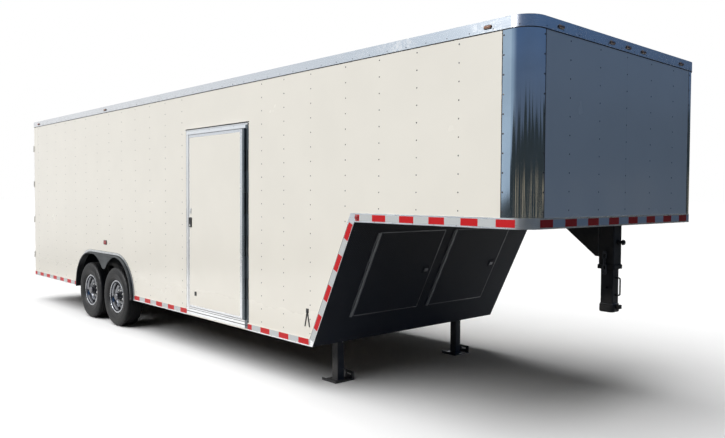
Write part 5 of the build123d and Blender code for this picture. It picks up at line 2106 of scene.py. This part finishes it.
@dataclass
class Coupler:
    """The gooseneck coupler's welds, bolt heads, collar, pin and chain hooks."""

    at: Layout
    x: float = 4.743
    post: float = 0.127
    stem: float = 0.1016
    post_top_weld_z: float = 1.532
    socket_weld_z: float = 0.914
    gusset_weld: Flat = (1.290, 1.528)
    bolt_z: float = 1.400
    bolt_across: float = 0.036
    head_out: float = 0.040
    collar: Flat = (1.190, 1.222)
    pin_z: float = 1.040
    ring_y: float = 0.0725
    ring_z: float = 1.026
    ring_r: float = 0.016
    chain_out: float = 0.022
    hook_top: float = 1.190
    hook_z: float = 1.168
    hook_r: float = 0.016
    hook_steps: int = 14

    def square(self, width: float, z: float, radius: float = 0.008) -> list[Point]:
        """A rounded square path round the coupler at a height."""
        return [(self.x + x, y, z) for x, y in rounded(width, width, radius)]

    def welds(self) -> Mesh:
        """Weld beads where tubes and plates meet."""
        made = tube(self.square(self.post + 0.002, self.post_top_weld_z), 0.004, 8, closed=True)
        made.add(tube(self.square(self.stem + 0.002, self.socket_weld_z), 0.0045, 8, closed=True))
        back = self.x - self.post / 2 - 0.001
        low, high = self.gusset_weld
        for y in (-self.post / 2 + 0.001, self.post / 2 - 0.001):
            made.add(tube([(back, y, low), (back, y, high)], 0.0040, 8))
        return made

    def bolt(self) -> Mesh:
        """The set bolt's head and its lock nut on the post's front."""
        face, made = self.x + self.post / 2, Mesh()
        for x, height in ((face + self.head_out, 0.016), (face, 0.018)):
            made.add(hex_bolt(self.bolt_across, height), frame_at((x, 0, self.bolt_z), (1, 0, 0)))
        return made

    def make_collar(self) -> Mesh:
        """The reinforcing collar at the post's lower end."""
        low, high = self.collar
        outer, inner = (self.post + 0.016, 0.014), (self.post - 0.002, 0.009)
        rings = [self.square(width, z, radius)
                 for (width, radius), z in ((inner, high), (outer, high), (outer, low), (inner, low))]
        return skin([[Vector(point) for point in ring] for ring in rings], closed=True)

    def pin(self) -> Mesh:
        """The pin through the stem, with its ring."""
        shaft = lathe([(0.0, -0.074), (0.0065, -0.073), (0.0065, 0.068), (0.010, 0.069), (0.010, 0.076),
                       (0.0, 0.077)], 16)
        made = Mesh().add(shaft, frame_at((self.x, 0, self.pin_z), (0, -1, 0)))
        ring = [(self.x + b, self.ring_y, self.ring_z + a) for a, b in circle(self.ring_r, 20)]
        return made.add(tube(ring, 0.0022, 6, closed=True))

    def hooks(self) -> Mesh:
        """The hook at the end of each chain."""
        made = Mesh()
        turns = [radians(100 - k * 250 / self.hook_steps) for k in range(self.hook_steps + 1)]
        for side in Side:
            y = side.value * (self.post / 2 + self.chain_out)
            path = [(self.x - 0.003, y, self.hook_top)]
            path += [(self.x + self.hook_r * cos(turn), y, self.hook_z + self.hook_r * sin(turn))
                     for turn in turns]
            made.add(tube(path, 0.0050, 8))
        return made

    def build(self, frame: dict) -> None:
        """Dresses the coupler."""
        dress_node(frame, Paint.coupler, "coupler_post", "coupler_stem")
        dress_node(frame, Paint.chain, "safety_chains")
        self.welds().piece("coupler_welds", Paint.weld)
        self.bolt().piece("coupler_bolt_heads", Paint.coupler)
        self.make_collar().piece("coupler_collar", Paint.coupler)
        self.pin().piece("coupler_pin", Paint.coupler)
        self.hooks().piece("chain_hooks", Paint.chain)


@dataclass
class LandingLegs:
    """Pins and welds of the two landing legs."""

    at: Layout
    x: float = 2.460
    y: float = 0.862
    outer: float = 0.0955
    inner: float = 0.0825
    pin_z: float = 0.408
    ring_z: float = 0.390
    ring_r: float = 0.018
    ring_out: float = 0.020
    shoe_weld_z: float = 0.010
    tube_weld_z: float = 0.3905

    def pin(self, side: Side) -> Mesh:
        """The pull pin through an outer tube, with its ring."""
        reach, y = self.outer / 2, side.value * self.y
        shaft = lathe([(0.0, -reach - 0.012), (0.0075, -reach - 0.011), (0.0075, reach + 0.014),
                       (0.012, reach + 0.015), (0.012, reach + 0.022), (0.0, reach + 0.023)], 16)
        made = Mesh().add(shaft, frame_at((self.x, y, self.pin_z), (1, 0, 0)))
        middle = self.x + reach + self.ring_out
        ring = [(middle, y + b, self.ring_z + a) for a, b in circle(self.ring_r, 22)]
        return made.add(tube(ring, 0.0024, 6, closed=True))

    def weld(self, side: Side, width: float, corner: float, z: float, radius: float) -> Mesh:
        """A weld bead round a leg.

        Args:
            side: The leg's side.
            width: How wide the bead's square path is.
            corner: The path's corner radius.
            z: Its height.
            radius: The bead's own radius.

        Returns:
            The bead.
        """
        y = side.value * self.y
        path = [(self.x + a, y + b, z) for a, b in rounded(width, width, corner)]
        return tube(path, radius, 8, closed=True)

    def welds(self, side: Side) -> Mesh:
        """The weld beads at the shoe and round the outer tube's end."""
        made = self.weld(side, self.inner + 0.003, 0.009, self.shoe_weld_z, 0.0040)
        return made.add(self.weld(side, self.outer - 0.003, 0.008, self.tube_weld_z, 0.0028))

    def build(self, frame: dict) -> None:
        """Dresses both legs."""
        dress_node(frame, Paint.chassis, "leg_right", "leg_left")
        for side in Side:
            self.pin(side).piece(f"leg_pin_{side.word}", Paint.zinc)
            self.welds(side).piece(f"leg_welds_{side.word}", Paint.weld)


@dataclass
class Chassis:
    """Frame members, floors and the red side lamps."""

    at: Layout
    lamp_ahead: float = 0.069
    lamp_z: float = 1.0955

    def side_lamp(self, side: Side) -> tuple[Mesh, Mesh]:
        """The red side lamp over an arch: its lens and base."""
        place = self.at.on_side(side, self.at.arch_x + self.lamp_ahead, self.lamp_z)
        lens = cushion(rounded(0.088, 0.053, 0.010), 0.0075, 0.004, 0.004)
        base = cushion(rounded(0.100, 0.065, 0.012), 0.005, 0.002)
        return Mesh().add(lens, place), Mesh().add(base, place)

    def build(self, frame: dict) -> None:
        """Dresses the chassis and floors."""
        black = ("main_rails", "edge_members", "cross_members", "neck_rails", "neck_cross_members")
        dress_node(frame, Paint.chassis, *black)
        dress_node(frame, Paint.plywood, "floor_main", "floor_locker", "floor_upper", "riser_wall")
        lenses, bases = Mesh(), Mesh()
        for side in Side:
            lens, base = self.side_lamp(side)
            lenses.add(lens)
            bases.add(base)
        made = lenses.piece("side_lamp_lenses", Paint.red, slot="red_lens")
        bases.piece("side_lamp_bases", Paint.lock)
        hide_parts("marker_lamps")


def main() -> None:
    """Dresses the frame."""
    logging.basicConfig(level=logging.INFO, format="%(name)s %(message)s")
    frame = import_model()
    Studio().build()
    at = Layout.read()
    log.info("%s", at)
    dress_node(frame, Paint.amber, "marker_lamps")
    for kind in (Walls, CornerCaps, RoofEdge, EdgeBand, EntryDoor, RearEnd, Slope, RunningGear, Coupler,
                 LandingLegs, Chassis):
        kind(at).build(frame)


if __name__ == "__main__":
    main()
